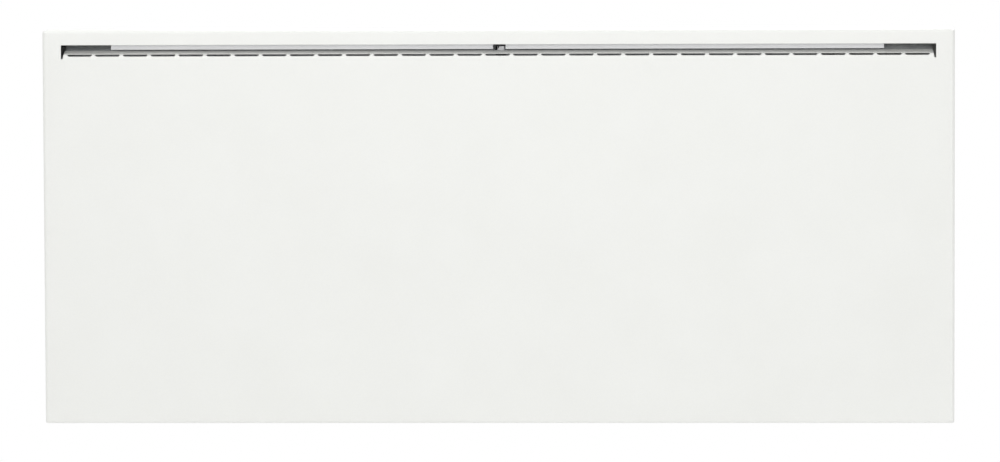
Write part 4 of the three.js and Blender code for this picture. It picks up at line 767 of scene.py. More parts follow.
casing.area(
    along_x, CASING_HALF_X,
    block(CASING_FRONT_Y, fold_end_y, CASING_CORNER - CASING_HALF_Z, CASING_HALF_Z - CASING_CORNER),
    around(*ROCKER_PLACE, *ROCKER_WINDOW, 0.8),
)
inlet_strip(
    casing, -CASING_HALF_Z, CASING_HALF_X, CASING_CORNER, inner_x, CASING_INLETS,
    CASING_FRONT_Y, fold_end_y,
)
rivet_head = [(0, -18.75), (1.4, -18.85), (2.2, -19.3), (2.5, -20.05), (0, -20.05)]
casing_rivets = [
    turned(rivet_head, x, z, along_y, 24) for x in DUCT_RIVET_XS for z in DUCT_RIVET_ZS
]
rear_casing = casing.sheet("casing_sheet", CASING_SHEET, (0, 1, 0), *casing_rivets)
finish(rear_casing, 0.15, grey_powder, "grey_paint", "rear_casing", angle=50)

# ---------------------------------------------------------------- cable gland
# A black nylon gland for the supply, which is wired on site. Its hexagon is outside the back
# wall, a nut holds it from within, and a rubber seal closes its bore.
GLAND_THREAD = (8, 7.35, 0.75)
GLAND_BORE = 5.9

black_plastic = surface(
    "black_plastic", (0.014, 0.0145, 0.016), (0.024, 0.0245, 0.026), (0.36, 0.5), 1400, 0.02,
)


def thread(crest, root, pitch, start, end):
    """The profile of a screw thread from one level to another."""
    count = int(abs(end - start) / pitch)
    step = (end - start) / count
    line = [(root, start)]
    for i in range(count):
        line += [(crest, start + (i + 0.5) * step), (root, start + (i + 1) * step)]
    return line


def hexagon(u, v, radius):
    return [(u - b, v + a) for a, b in ring(0, 0, radius, 6)]


gland_head = plate(
    hexagon(*GLAND_PLACE, 11), [ring(*GLAND_PLACE, GLAND_BORE)], -19.7, -15.2, along_y,
)
gland_cap = turned(
    [(GLAND_BORE, -15.4), (9.3, -15.4), (9.3, -14), (8.2, -12.7), (GLAND_BORE, -12.7),
     (GLAND_BORE, -15.4)],
    *GLAND_PLACE, along_y,
)
gland_thread = turned(
    [(GLAND_BORE, -34.8), *thread(*GLAND_THREAD, -34.8, -19.6), (GLAND_BORE, -19.6),
     (GLAND_BORE, -34.8)],
    *GLAND_PLACE, along_y,
)
cable_gland = as_object("gland_body", gland_head, gland_cap, gland_thread)
finish(cable_gland, 0.25, black_plastic, "black_plastic", "cable_gland")

nut = plate(hexagon(*GLAND_PLACE, 11), [ring(*GLAND_PLACE, 8.15)], -26.1, -21.9, along_y)
washer = turned(
    [(8.2, -22), (10.8, -22), (10.8, SEAT_Y), (8.2, SEAT_Y), (8.2, -22)], *GLAND_PLACE, along_y,
)
gland_nut = as_object("gland_lock_nut", nut, washer)
finish(gland_nut, 0.3, black_plastic, "black_plastic", "gland_nut")

gland_seal = as_object("gland_ring", turned(
    [(4, -17.7), (5.6, -17.7), (5.6, -13.2), (5.1, -12.7), (4.5, -12.9), (4, -13.4), (4, -17.7)],
    *GLAND_PLACE, along_y,
))
finish(gland_seal, 0.15, rubber, "black_rubber", "gland_seal")

# ---------------------------------------------------------------- air duct
# Bright galvanised sheet, 0.8 mm. It slopes back from behind the cover's lip and drops as the
# front wall of the warm air shaft; an end wall with a riveted foot closes each side.
DUCT_SHEET = 0.8
GUIDE_FRONT = (-75.375, 165.82)
GUIDE_TOP = (-54.2, 173.95)
GUIDE_HALF = 406.6
DUCT_LEFT = -400
DUCT_RIGHT = 300
DUCT_BOTTOM = -150
DUCT_SIDE_TOP = 150
PASSAGE_BOTTOM = 159.2

duct_line = bends(
    [GUIDE_FRONT, GUIDE_TOP, (GUIDE_TOP[0], PASSAGE_BOTTOM)], [0, 1.4, 0], closed=False, steps=6,
)
slit_left, slit_right = TONGUE_SLIT[:2]
duct = Skin()
for xs, line in (
    ((-GUIDE_HALF, DUCT_LEFT), duct_line[:2]), ((DUCT_RIGHT, GUIDE_HALF), duct_line[:2]),
    ((DUCT_LEFT, slit_left), duct_line), ((slit_right, DUCT_RIGHT), duct_line),
    ((DUCT_LEFT, slit_left, slit_right, DUCT_RIGHT), [duct_line[-1], Vector((GUIDE_TOP[0], DUCT_BOTTOM))]),
):
    duct.grid([[(x, y, z) for x in xs] for y, z in line])
duct_ends = []
for x, outward in ((DUCT_LEFT + DUCT_SHEET, -1), (DUCT_RIGHT - DUCT_SHEET, 1)):
    plan = bends([(x, -55), (x, SEAT_Y), (x + outward * 12.8, SEAT_Y)], [0, 1.6, 0], closed=False)
    duct_ends.append(plate(
        folded(plan, -outward * DUCT_SHEET), [], DUCT_BOTTOM, DUCT_SIDE_TOP, along_z,
    ))
air_duct = duct.sheet("duct_sheet", DUCT_SHEET, (0, 1, 0), *duct_ends)
galvanised = surface(
    "galvanised_sheet", (0.60, 0.615, 0.63), (0.72, 0.735, 0.745), (0.38, 0.52), 300, 0.01,
    metallic=0.35, spangle=130,
)
finish(air_duct, 0.12, galvanised, "galvanised_steel", "air_duct")


def refinish(node, material, width=0.15):
    """The solid itself, with eased edges and its finish."""
    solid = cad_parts[node]
    if not solid.material_slots:
        solid.data.materials.append(material)
    for holder in solid.material_slots:
        holder.link = "OBJECT"
        holder.material = material
    ease = solid.modifiers.new("eased_edges", "BEVEL")
    ease.width = width * MM
    ease.segments = 2
    ease.limit_method = "ANGLE"
    ease.angle_limit = math.radians(40)
    ease.use_clamp_overlap = True


# ---------------------------------------------------------------- reflector and heating element
# A bright reflector behind a rod element in a finned aluminium section. Ceramic bushes in sheet
# cradles hold the rod's ends and keep it clear of the duct.
ELEMENT_Y = -38
ELEMENT_Z = -95
ROD_ENDS = (-374, 274)
BUSH_XS = (-361, 261)

aluminium = surface(
    "drawn_aluminium", (0.64, 0.65, 0.66), (0.76, 0.77, 0.78), (0.20, 0.34), 500, 0.01,
    metallic=1.0, stretch=(0.04, 1, 1),
)
refinish("reflector", aluminium)
refinish("element_fins", aluminium, 0.2)

rod_left, rod_right = ROD_ENDS
rod_line = [
    (0, rod_left - 11), (1.3, rod_left - 11), (1.5, rod_left - 10.8), (1.5, rod_left), (3.4, rod_left),
    (4, rod_left + 0.6), (4, rod_right - 0.6), (3.4, rod_right), (1.5, rod_right),
    (1.5, rod_right + 10.8), (1.3, rod_right + 11), (0, rod_right + 11),
]
element_rod = as_object("sheathed_rod", turned(rod_line, ELEMENT_Y, ELEMENT_Z, along_x))
heat_stained = surface(
    "heat_stained_sheath", (0.022, 0.022, 0.024), (0.075, 0.062, 0.055), (0.42, 0.62), 260, 0.02,
    metallic=0.7,
)
finish(element_rod, 0.1, heat_stained, "dark_sheath", "element_rod")

ceramic = surface("glazed_ceramic", (0.72, 0.68, 0.58), (0.82, 0.79, 0.70), (0.38, 0.6), 1100, 0.03)
for name, x in (("left", BUSH_XS[0]), ("right", BUSH_XS[1])):
    bush_line = [
        (4.3, -8), (7.9, -8), (8.5, -7.4), (8.5, -3.6), (7.7, -3.2), (7.7, -2.2), (8.5, -1.8),
        (8.5, 1.8), (7.7, 2.2), (7.7, 3.2), (8.5, 3.6), (8.5, 7.4), (7.9, 8), (4.3, 8), (4.3, -8),
    ]
    bush = as_object(f"bush_{name}", turned(
        [(r, x + level) for r, level in bush_line], ELEMENT_Y, ELEMENT_Z, along_x,
    ))
    finish(bush, 0.15, ceramic, "ceramic", f"element_bush_{name}")
    refinish(f"element_cradle_{name}", galvanised)

# ---------------------------------------------------------------- thermal cut-out
# A round black switch in the warm air above the element, on a small zinc-plated plate that is
# riveted to the casing. Two push-on blades take its lead.
CUTOUT_PLACE = (210, 60)

cutout_x, cutout_z = CUTOUT_PLACE
mount = plate(
    around(*CUTOUT_PLACE, 15, 8, 5),
    [ring(cutout_x + side * 11.5, cutout_z, 1.6) for side in (-1, 1)], -22.1, SEAT_Y, along_y,
)
cutout_plate = as_object("cutout_mount", mount)
finish(cutout_plate, 0.12, zinc, "zinc_steel", "cutout_plate")

switch_body = turned(
    [(0, -31.4), (5.9, -31.4), (6.4, -30.9), (6.4, -29.2), (8, -28.8), (8, -22.9), (7.5, -22.4),
     (0, -22.4)],
    cutout_x, cutout_z, along_y,
)
blades = [plate(
    bends([(x - 2, -31), (x + 2, -31), (x + 2, -37.4), (x - 2, -37.4)], [0, 0, 0.9, 0.9]),
    [ring(x, -34.8, 0.6, 16)], cutout_z - 0.4, cutout_z + 0.4, along_z,
) for x in (cutout_x - 4, cutout_x + 4)]
thermal_cutout = as_object("cutout_switch", switch_body, *blades)
finish(thermal_cutout, 0.15, black_plastic, "black_plastic", "thermal_cutout")

# ---------------------------------------------------------------- control housing and board
# A white moulded box hangs under the casing's top flange and holds a green circuit board with
# its relay, three key switches and a small display.
BOARD_TRACK_PITCH = 0.0021

white_plastic = surface(
    "white_plastic", (0.78, 0.785, 0.77), (0.83, 0.835, 0.82), (0.38, 0.5), 1500, 0.02,
)


def board_finish(name):
    """Green lacquer over copper tracks, which run in steps along the board."""
    material = surface(name, (0.018, 0.10, 0.045), (0.03, 0.14, 0.06), (0.28, 0.4), 900, 0.01)
    tree = material.node_tree
    shader = tree.nodes["Principled BSDF"]
    tracks = add_node(tree, "TexBrick", {
        "Vector": tree.nodes["Texture Coordinate"].outputs["Object"],
        "Scale": 1 / BOARD_TRACK_PITCH, "Mortar Size": 0.12, "Brick Width": 3.0,
        "Row Height": 1.0, "Color1": (0.03, 0.14, 0.06, 1), "Color2": (0.025, 0.12, 0.05, 1),
        "Mortar": (0.10, 0.30, 0.12, 1),
    })
    both = add_node(tree, "Mix", {
        "Factor": 0.6, "A": shader.inputs["Base Color"].links[0].from_socket,
        "B": tracks.outputs["Color"],
    }, data_type="RGBA")
    feed(tree, shader, {"Base Color": both.outputs["Result"]})
    return material


refinish("control_housing", white_plastic, 0.3)
refinish("control_board", board_finish("lacquered_board"), 0.1)
for node in ("relay", "display_module", "key_switch_minus", "key_switch_mode", "key_switch_plus"):
    refinish(node, black_plastic, 0.2)

# ---------------------------------------------------------------- control panel, lens and buttons
# A white moulded strip in the casing's top flange, with a smoked lens over the display and
# three round buttons whose symbols stand slightly proud.
PANEL_HALF = (48, 7.5)
PANEL_UNDER_Z = 181.7
PANEL_TOP_Z = 183.7
LENS_MIDDLE_X = 336
LENS_HALF = (12, 4)
BUTTON_XS = {"minus": 368, "mode": 383, "plus": 398}
BUTTON_CAP = [
    (0, 180.5), (4.9, 180.5), (4.9, 181.4), (3.9, 181.4), (3.9, 183.6), (3.6, 183.95),
    (2.9, 183.95), (1.5, 183.8), (0, 183.75),
]
MARK_Z = (183.7, 184.0)

panel_y = PANEL_MIDDLE[1]
panel_face = plate(
    around(*PANEL_MIDDLE, *PANEL_HALF, 1.2),
    [
        around(LENS_MIDDLE_X, panel_y, 12.3, 4.3, 0.8),
        *[ring(x, panel_y, 4.2) for x in BUTTON_XS.values()],
    ],
    PANEL_UNDER_Z, PANEL_TOP_Z, along_z,
)
control_panel = as_object("panel_strip", panel_face)
finish(control_panel, 0.3, white_plastic, "white_plastic", "control_panel", steps=3)

smoked = surface("smoked_lens", (0.010, 0.011, 0.014), (0.016, 0.018, 0.022), (0.05, 0.12), 500, 0.003)
smoked.node_tree.nodes["Principled BSDF"].inputs["Coat Weight"].default_value = 0.6
lens = as_object("lens_window", plate(
    around(LENS_MIDDLE_X, panel_y, *LENS_HALF, 0.7), [], PANEL_UNDER_Z, PANEL_TOP_Z, along_z,
))
finish(lens, 0.35, smoked, "smoked_lens", "display_lens", steps=3)

for name, x in BUTTON_XS.items():
    marks = {
        "minus": [stadium(x, panel_y, 3.2, 0.6)],
        "mode": [],
        "plus": [stadium(x, panel_y, 3.2, 0.6), [
            (x + v - panel_y, panel_y + u - x) for u, v in stadium(x, panel_y, 3.2, 0.6)
        ]],
    }[name]
    shapes = [plate(mark, [], *MARK_Z, along_z) for mark in marks]
    if name == "mode":
        shapes.append(plate(ring(x, panel_y, 1.7), [ring(x, panel_y, 1.1)], *MARK_Z, along_z))
    button = as_object(f"{name}_button", turned(BUTTON_CAP, x, panel_y, along_z, 48), *shapes)
    finish(button, 0.08, white_plastic, "white_plastic", f"button_{name}", f"button_{name}")

# ---------------------------------------------------------------- mains rocker and its socket
# A black rocker switch snapped into the casing's right side. The rocker turns on two pins in
# the socket; its dished face stands tilted with the upper end out.
PIVOT_X = 421.0036
ROCKER_TILT = math.radians(7)
ROCKER_HALF_Y = 5
SOCKET_BACK_X = 408.4
WELL_FLOOR_X = 415.7
BEZEL_X = (426.5, 427.5)

rocker_line = [(-2.65, -2.125), (2.65, -8.5)]
for i in range(13):
    across = -1 + 2 * i / 12
    rocker_line.append((4.2 + 1.1 * across * across, 8.5 * across))
rocker_line += [(2.65, 8.5), (-2.65, 2.125)]


def tilted(points):
    turn = Matrix.Rotation(-ROCKER_TILT, 2)
    return [turn @ Vector(point) + Vector((PIVOT_X, rocker_z)) for point in points]


rocker_pins = turned(
    [(0, rocker_y - 5.6), (1.5, rocker_y - 5.6), (1.5, rocker_y + 5.6), (0, rocker_y + 5.6)],
    PIVOT_X, rocker_z, along_y, 24,
)
rocker_cap = plate(
    tilted(rocker_line), [], rocker_y - ROCKER_HALF_Y, rocker_y + ROCKER_HALF_Y, along_y,
)
on_mark = plate(
    tilted([(4.8, 4.2), (5.02, 4.2), (5.02, 6.6), (4.8, 6.6)]), [],
    rocker_y - 0.3, rocker_y + 0.3, along_y,
)
mains_rocker = as_object("rocker_cap", rocker_cap, rocker_pins, on_mark)
finish(mains_rocker, 0.35, black_plastic, "black_plastic", "mains_rocker", "mains_rocker", steps=3)

well = around(*ROCKER_PLACE, 5.9, 9.4, 0.6)
blade = plate(
    bends([(409, rocker_y - 2), (409, rocker_y + 2), (402.4, rocker_y + 2),
           (402.4, rocker_y - 2)], [0, 0, 0.9, 0.9]),
    [ring(404.6, rocker_y, 0.7, 16)], rocker_z - 0.4, rocker_z + 0.4, along_z,
)
rocker_socket = as_object(
    "socket_frame",
    plate(around(*ROCKER_PLACE, 7.1, 10.6, 0.6), [], SOCKET_BACK_X, WELL_FLOOR_X, along_x),
    plate(around(*ROCKER_PLACE, 7.1, 10.6, 0.6), [well], WELL_FLOOR_X, BEZEL_X[0], along_x),
    plate(around(*ROCKER_PLACE, 8.7, 12.2, 1.6), [well], *BEZEL_X, along_x),
    blade,
)
finish(rocker_socket, 0.3, black_plastic, "black_plastic", "rocker_socket", steps=3)

# ---------------------------------------------------------------- terminal block and earth stud
# A white moulded block with three ways, each with a collar on its front, and a threaded brass
# stud with a nut for the earth.
WAY_XS = (331.667, 345, 358.333)
BLOCK_BACK_Y = SEAT_Y
BLOCK_FRONT_Y = -35.1
BLOCK_ZS = (-69, -51)
STUD_PLACE = (385, -40)

block_outline = [(325, BLOCK_BACK_Y), (325, BLOCK_FRONT_Y)]
for x in (338.33, 351.67):
    block_outline += [
        (x - 1.1, BLOCK_FRONT_Y), (x - 1.1, BLOCK_FRONT_Y + 5), (x + 1.1, BLOCK_FRONT_Y + 5),
        (x + 1.1, BLOCK_FRONT_Y),
    ]
block_outline += [(365, BLOCK_FRONT_Y), (365, BLOCK_BACK_Y)]
block_radii = [0.6, 1.2, 0.8, 0.4, 0.4, 0.8, 0.8, 0.4, 0.4, 0.8, 1.2, 0.6]
terminal_shapes = [plate(
    bends(block_outline, block_radii, steps=3),
    [ring(x, -28.1, 2.9) for x in WAY_XS], *BLOCK_ZS, along_z,
)]
for x in WAY_XS:
    collar = [(2.2, -36), (3.4, -36), (3.6, -35), (2.2, -35), (2.2, -36)]
    terminal_shapes.append(turned(collar, x, -60, along_y, 28))
terminal_block = as_object("terminal_strip", *terminal_shapes)
finish(terminal_block, 0.2, white_plastic, "white_plastic", "terminal_block")

brass = surface(
    "brass", (0.55, 0.40, 0.14), (0.68, 0.52, 0.22), (0.24, 0.4), 700, 0.012, metallic=1.0,
)
stud_x, stud_z = STUD_PLACE
stud = turned(
    [(0, -33.1), *thread(2, 1.72, 0.7, -33.1, SEAT_Y), (0, SEAT_Y)], stud_x, stud_z, along_y, 28,
)
stud_nut = plate(hexagon(stud_x, stud_z, 4), [], -24.9, -21.8, along_y)
stud_washer = turned([(0, -21.8), (4.4, -21.8), (4.4, SEAT_Y), (0, SEAT_Y)], stud_x, stud_z, along_y)
earth_stud = as_object("earth_terminal", stud, stud_nut, stud_washer)
finish(earth_stud, 0.12, brass, "brass", "earth_stud")

# ---------------------------------------------------------------- room sensor and its clip
# A small dark bead above the inlets at the right, held in a spring steel clip on the casing.
SENSOR_PLACE = (380, -31)
SENSOR_LINE = [
    (0, -167.8), (1.2, -167.6), (2.1, -167), (2.5, -166), (2.5, -155), (2.0, -154.1), (1.1, -153.8),
    (0, -153.8),
]

sensor = as_object("sensor_bead", turned(SENSOR_LINE, *SENSOR_PLACE, along_z, 28))
finish(sensor, 0.1, black_plastic, "black_plastic", "room_sensor")
refinish("sensor_clip", spring_steel, 0.1)

# ---------------------------------------------------------------- leads and grommet
# Round silicone leads in white, black and green, 2.8 mm thick, run from the terminal block to
# the element, the board, the rocker and the earth stud. A rubber grommet lines the duct's hole.
LEAD_RADIUS = 1.4
SENSOR_LEAD_RADIUS = 1.0
ROUTES = {
    "element_lead_right": [
        (285.3, -38, -95), (300, -38, -95), (308, -38, -95), (319.667, -34.1, -92),
        (331.667, -28.1, -81), (331.667, -28.1, -73), (331.667, -28.1, -64),
    ],
    "element_lead_left": [
        (-385.3, -38, -95), (-388.3, -38, -95), (-392.3, -38, -99), (-394.3, -38, -115),
        (-393.3, -38, -142), (-379.3, -38, -162), (-355.3, -38, -166), (0, -38, -166),
        (280, -38, -166), (320, -39.8, -142), (341, -39.8, -115), (345, -39.8, -99),
        (345, -30.1, -78), (345, -28.1, -72), (345, -28.1, -64),
    ],
    "board_lead": [
        (345, -28.1, -56), (345, -28.1, -39), (354, -31, 9), (354, -31, 120.6), (354, -31, 150.6),
        (354, -31, 171.8),
    ],
    "switch_lead": [
        (331.667, -28.1, -56), (331.667, -28.1, -42), (345, -45.8, -26), (374.4, -45.8, -12),
        (396.4, -32, -10), (402.1, -31, -10),
    ],
    "earth_lead": [
        (358.333, -28.1, -56), (358.333, -28.1, -46), (367.333, -28.1, -37), (380.7, -23.1, -40),
    ],
    "cutout_lead": [
        (214, -37.7, 60), (214, -40.4, 60), (215, -43.4, 65), (222, -43.4, 90), (250, -42, 135),
        (285, -38, 159.1), (304, -31, 163.1), (316.2, -31, 163.1), (319.2, -31, 163.1),
        (322.2, -31, 167.1), (322.2, -31, 171.8),
    ],
    "sensor_lead": [
        (380, -31, -153.5), (380, -31, -139.8), (386, -56.8, -60), (390, -56.8, 0), (390, -38, 90),
        (390, -31, 140.6), (390, -31, 152.1), (390, -31, 171.8),
    ],
}


def smooth_line(points, steps=8):
    """Points along the smooth curve through a lead's route."""
    spots = [Vector(point) for point in points]
    ends = [2 * spots[0] - spots[1], *spots, 2 * spots[-1] - spots[-2]]
    line = []
    for before, start, end, after in zip(ends, ends[1:], ends[2:], ends[3:]):
        a, b, c = [(q - p).length ** 0.5 for p, q in ((before, start), (start, end), (end, after))]
        leave = ((start - before) / a - (end - before) / (a + b) + (end - start) / b) * b
        reach = ((end - start) / b - (after - start) / (b + c) + (after - end) / c) * b
        for i in range(steps):
            t = i / steps
            line.append(
                start * (2 * t ** 3 - 3 * t ** 2 + 1) + leave * (t ** 3 - 2 * t ** 2 + t)
                + end * (3 * t ** 2 - 2 * t ** 3) + reach * (t ** 3 - t ** 2)
            )
    return [*line, spots[-1]]


def wire(name, line, radius):
    """A round wire along a line, as a mesh in metres."""
    curve = bpy.data.curves.new(name, "CURVE")
    curve.dimensions = "3D"
    curve.bevel_depth = radius * MM
    curve.bevel_resolution = 4
    curve.use_fill_caps = True
    spline = curve.splines.new("POLY")
    spline.points.add(len(line) - 1)
    for spot, point in zip(spline.points, line):
        spot.co = (*(Vector(point) * MM), 1)
    path = bpy.data.objects.new(name, curve)
    bpy.context.scene.collection.objects.link(path)
    mesh = bpy.data.meshes.new_from_object(path.evaluated_get(bpy.context.evaluated_depsgraph_get()))
    bpy.data.objects.remove(path)
    bpy.data.curves.remove(curve)
    mesh.name = name
    for polygon in mesh.polygons:
        polygon.use_smooth = True
    piece = bpy.data.objects.new(name, mesh)
    bpy.context.scene.collection.objects.link(piece)
    return piece


white_sheath = surface("white_silicone", (0.66, 0.66, 0.63), (0.76, 0.76, 0.73), (0.5, 0.66), 1200, 0.02)
dark_sheath = surface("dark_silicone", (0.014, 0.014, 0.016), (0.03, 0.03, 0.032), (0.45, 0.62), 1200, 0.02)
green_sheath = surface("green_silicone", (0.03, 0.15, 0.05), (0.05, 0.21, 0.07), (0.45, 0.6), 1200, 0.02)
SHEATHS = {
    "switch_lead": (dark_sheath, "black_plastic"), "sensor_lead": (dark_sheath, "black_plastic"),
    "earth_lead": (green_sheath, "green_lead"),
}
for name, route in ROUTES.items():
    radius = SENSOR_LEAD_RADIUS if name == "sensor_lead" else LEAD_RADIUS
    sheath, slot = SHEATHS.get(name, (white_sheath, "white_lead"))
    dress(wire(f"{name}_run", smooth_line(route), radius), sheath, "heater", slot, name)

grommet_line = [
    (1.7, 297.5), (6.6, 297.5), (7, 297.9), (7, 298.9), (4.7, 298.9), (4.7, 300.3), (7, 300.3),
    (7, 302.1), (6.6, 302.5), (1.7, 302.5), (1.7, 297.5),
]
grommet = as_object("duct_bushing", turned(grommet_line, ELEMENT_Y, ELEMENT_Z, along_x))
finish(grommet, 0.12, rubber, "black_rubber", "duct_grommet")

# ---------------------------------------------------------------- inlet grille
# A strip of 0.8 mm galvanised sheet over the inlets, punched with rows of short slots.
GRILLE_HALF_X = 400
GRILLE_YS = (-82, -22)
GRILLE_ZS = (-182.6, -181.8)
GRILLE_SLOT = (46, 3.2)
GRILLE_PITCH = (52, 9)
GRILLE_COLUMNS = 14
GRILLE_ROWS = 6
SCREW_XS = (-312, 0, 312)
SCREW_Y = -52

grille_slots = []
for column in range(GRILLE_COLUMNS):
    for row in range(GRILLE_ROWS):
        grille_slots.append(stadium(
            (column - (GRILLE_COLUMNS - 1) / 2) * GRILLE_PITCH[0],
            sum(GRILLE_YS) / 2 + (row - (GRILLE_ROWS - 1) / 2) * GRILLE_PITCH[1], *GRILLE_SLOT, 4,
        ))
inlet_grille = as_object("grille_strip", plate(
    block(-GRILLE_HALF_X, GRILLE_HALF_X, *GRILLE_YS, 2),
    [*grille_slots, *[ring(x, SCREW_Y, 2) for x in SCREW_XS]], *GRILLE_ZS, along_z,
))
finish(inlet_grille, 0.1, galvanised, "galvanised_steel", "inlet_grille", steps=1)

# ---------------------------------------------------------------- release tongue, guide and spring
# A painted steel tongue with a bent tip shows in the rail's notch. It slides down in a white
# guide against a coil spring, and its rear end presses the catch leaf off the casing's tab.
TONGUE_X = 2.6
TONGUE_FLAP = [(-3.5, 165.2), (3.5, 165.2), (3.5, 169.4), (-1.1, 169.4)]
FLAP_YS = (-74.6, -73.4)
BAR_HALF = 3
BAR_ZS = (166.4, 169.4)
BAR_YS = (-74, -12)
GUIDE_YS = (-35.1, SEAT_Y)
SPRING_PLACE = (2.6, -28.1)
SPRING_ZS = (153.15, 165.65)
SPRING_RADIUS = 2.3
SPRING_WIRE = 0.45
SPRING_TURNS = 6

inner_white = surface(
    "inner_white_paint", (0.795, 0.8, 0.81), (0.825, 0.83, 0.84), (0.4, 0.5), 900, 0.03,
)
tongue_flap = plate([(TONGUE_X + x, z) for x, z in TONGUE_FLAP], [], *FLAP_YS, along_y)
tongue_bar = plate(
    block(TONGUE_X - BAR_HALF, TONGUE_X + BAR_HALF, *BAR_ZS, 0.5), [], *BAR_YS, along_y,
)
release_tongue = as_object("tongue_bar", tongue_flap, tongue_bar)
finish(release_tongue, 0.2, inner_white, "inner_white_paint", "release_tongue", "release_tongue")

tongue_guide = as_object("tongue_channel", plate(
    block(TONGUE_X - 5.3, TONGUE_X + 5.3, 150.4, 171.7, 1.2),
    [block(TONGUE_X - 3.3, TONGUE_X + 3.3, 152.4, 169.7, 0.3)], *GUIDE_YS, along_y,
))
finish(tongue_guide, 0.25, white_plastic, "white_plastic", "tongue_guide")

spring_x, spring_y = SPRING_PLACE
spring_low, spring_high = SPRING_ZS
coil = []
for i in range(SPRING_TURNS * 24 + 1):
    along = i / (SPRING_TURNS * 24)
    turn = 2 * math.pi * SPRING_TURNS * along
    coil.append((
        spring_x + SPRING_RADIUS * math.cos(turn), spring_y + SPRING_RADIUS * math.sin(turn),
        spring_low + (spring_high - spring_low) * along,
    ))
tongue_spring = wire("return_spring", coil, SPRING_WIRE)
dress(tongue_spring, spring_steel, "heater", "spring_steel", "tongue_spring")
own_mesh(tongue_spring)

# ---------------------------------------------------------------- catch tab
# A folded zinc-plated tab riveted to the casing's back, with a lip that drops behind the leaf.
TAB_XS = (-10, -2)
TAB_SHEET = 1.2
TAB_LINE = [(-19.7, 182.7), (-19.7, 166.7), (-9, 166.7), (-9, 162.7)]

tab_section = folded(bends(TAB_LINE, [0, 1.0, 1.6, 0], closed=False), TAB_SHEET)
tab_rivet = [(0, -17.2), (1.3, -17.3), (2.1, -17.8), (2.3, -18.5), (0, -18.5)]
catch_tab = as_object(
    "casing_tab", plate(tab_section, [], *TAB_XS, along_x), turned(tab_rivet, -6, 177, along_y, 24),
)
finish(catch_tab, 0.15, zinc, "zinc_steel", "catch_tab")

# ---------------------------------------------------------------- front cover
# One tray of 1 mm steel, folded back on all four sides and stove-enamelled white. The sheet
# below the outlet slot rolls back into a lip, and a row of vents is punched along the roll.
COVER_SHEET = 1
COVER_BEND = 3
COVER_CORNER = 2
COVER_HALF_X = 427.5
COVER_HALF_Z = 185
COVER_FRONT_Y = -86
COVER_BACK_Y = -42
SLOT_HALF = 410
SLOT_ZS = (158.6, 171.6)
LIP_HALF = 408.5
LIP_RADIUS = 5
LIP_ANGLE = math.radians(68)
LIP_TAIL = 6.9
LIP_TAPER = 1.3
VENTS = 31
VENT_END = 4.365
VENT_BRIDGE = 3.17
VENT_WIDTH = 3.6
VENT_ANGLE = math.radians(50)
COVER_INLETS = ((-78, -65), (-59, -45))

slot_bottom, slot_top = SLOT_ZS


def lip_point(x, s):
    """A point on the lip's outer skin, s along it from where the fold leaves the face."""
    turn = min(s / LIP_RADIUS, LIP_ANGLE)
    tail = max(s - LIP_RADIUS * LIP_ANGLE, 0)
    y = COVER_FRONT_Y + LIP_RADIUS * (1 - math.cos(turn)) + tail * math.sin(LIP_ANGLE)
    z = slot_bottom + LIP_RADIUS * math.sin(turn) + tail * math.cos(LIP_ANGLE)
    return Vector((x, y, z))


def lip_end(s):
    rise = lip_point(0, s).z - slot_bottom
    return LIP_HALF - LIP_TAPER * rise / (LIP_RADIUS + LIP_TAIL * math.cos(LIP_ANGLE))


cover = Skin()
vent_pitch = (2 * SLOT_HALF - 2 * VENT_END) / VENTS
vent_length = vent_pitch - VENT_BRIDGE
vent_centres = [(i - (VENTS - 1) / 2) * vent_pitch for i in range(VENTS)]
vent_s = LIP_RADIUS * VENT_ANGLE
vent_corner = VENT_WIDTH / 2 - 0.01
vent_rows = window_rows(vent_s, VENT_WIDTH / 2, vent_corner, 5)
band = (vent_s - 2, vent_s + 2)
pierced_band(cover, lip_point, vent_centres, vent_pitch, vent_length, vent_corner, vent_rows, band)
vented_half = VENTS * vent_pitch / 2
vent_straight = vent_length / 2 - vent_corner
lip_lines = [-vented_half]
for centre in vent_centres:
    lip_lines += [centre - vent_straight, centre + vent_straight, centre + vent_pitch / 2]
lip_length = LIP_RADIUS * LIP_ANGLE + LIP_TAIL
roll = [band[0] * i / 3 for i in range(4)]
tail_rows = [band[1], band[1] + 0.4, (band[1] + lip_length) / 2, lip_length]
for rows in (roll, tail_rows):
    cover.grid([[lip_point(x, s) for x in lip_lines] for s in rows])
end_rows = roll + [s for s, _ in vent_rows] + tail_rows
for side in (-1, 1):
    cover.grid([[lip_point(side * vented_half, s), lip_point(side * lip_end(s), s)] for s in end_rows])

flat_x, flat_z = COVER_HALF_X - COVER_BEND, COVER_HALF_Z - COVER_BEND
slot_line = [-flat_x, -SLOT_HALF, -LIP_HALF, *lip_lines, LIP_HALF, SLOT_HALF, flat_x]
cover.face(
    *[(x, COVER_FRONT_Y, slot_bottom) for x in slot_line],
    *[(x, COVER_FRONT_Y, -flat_z) for x in [flat_x, *reversed(inlet_lines), -flat_x]],
)
for side in (-1, 1):
    cover.face(*[(side * x, COVER_FRONT_Y, z) for x, z in (
        (flat_x, slot_bottom), (SLOT_HALF, slot_bottom), (SLOT_HALF, slot_top),
        (SLOT_HALF, flat_z), (flat_x, flat_z),
    )])
cover.face(*[(x, COVER_FRONT_Y, z) for x, z in (
    (-SLOT_HALF, slot_top), (SLOT_HALF, slot_top), (SLOT_HALF, flat_z), (-SLOT_HALF, flat_z),
)])

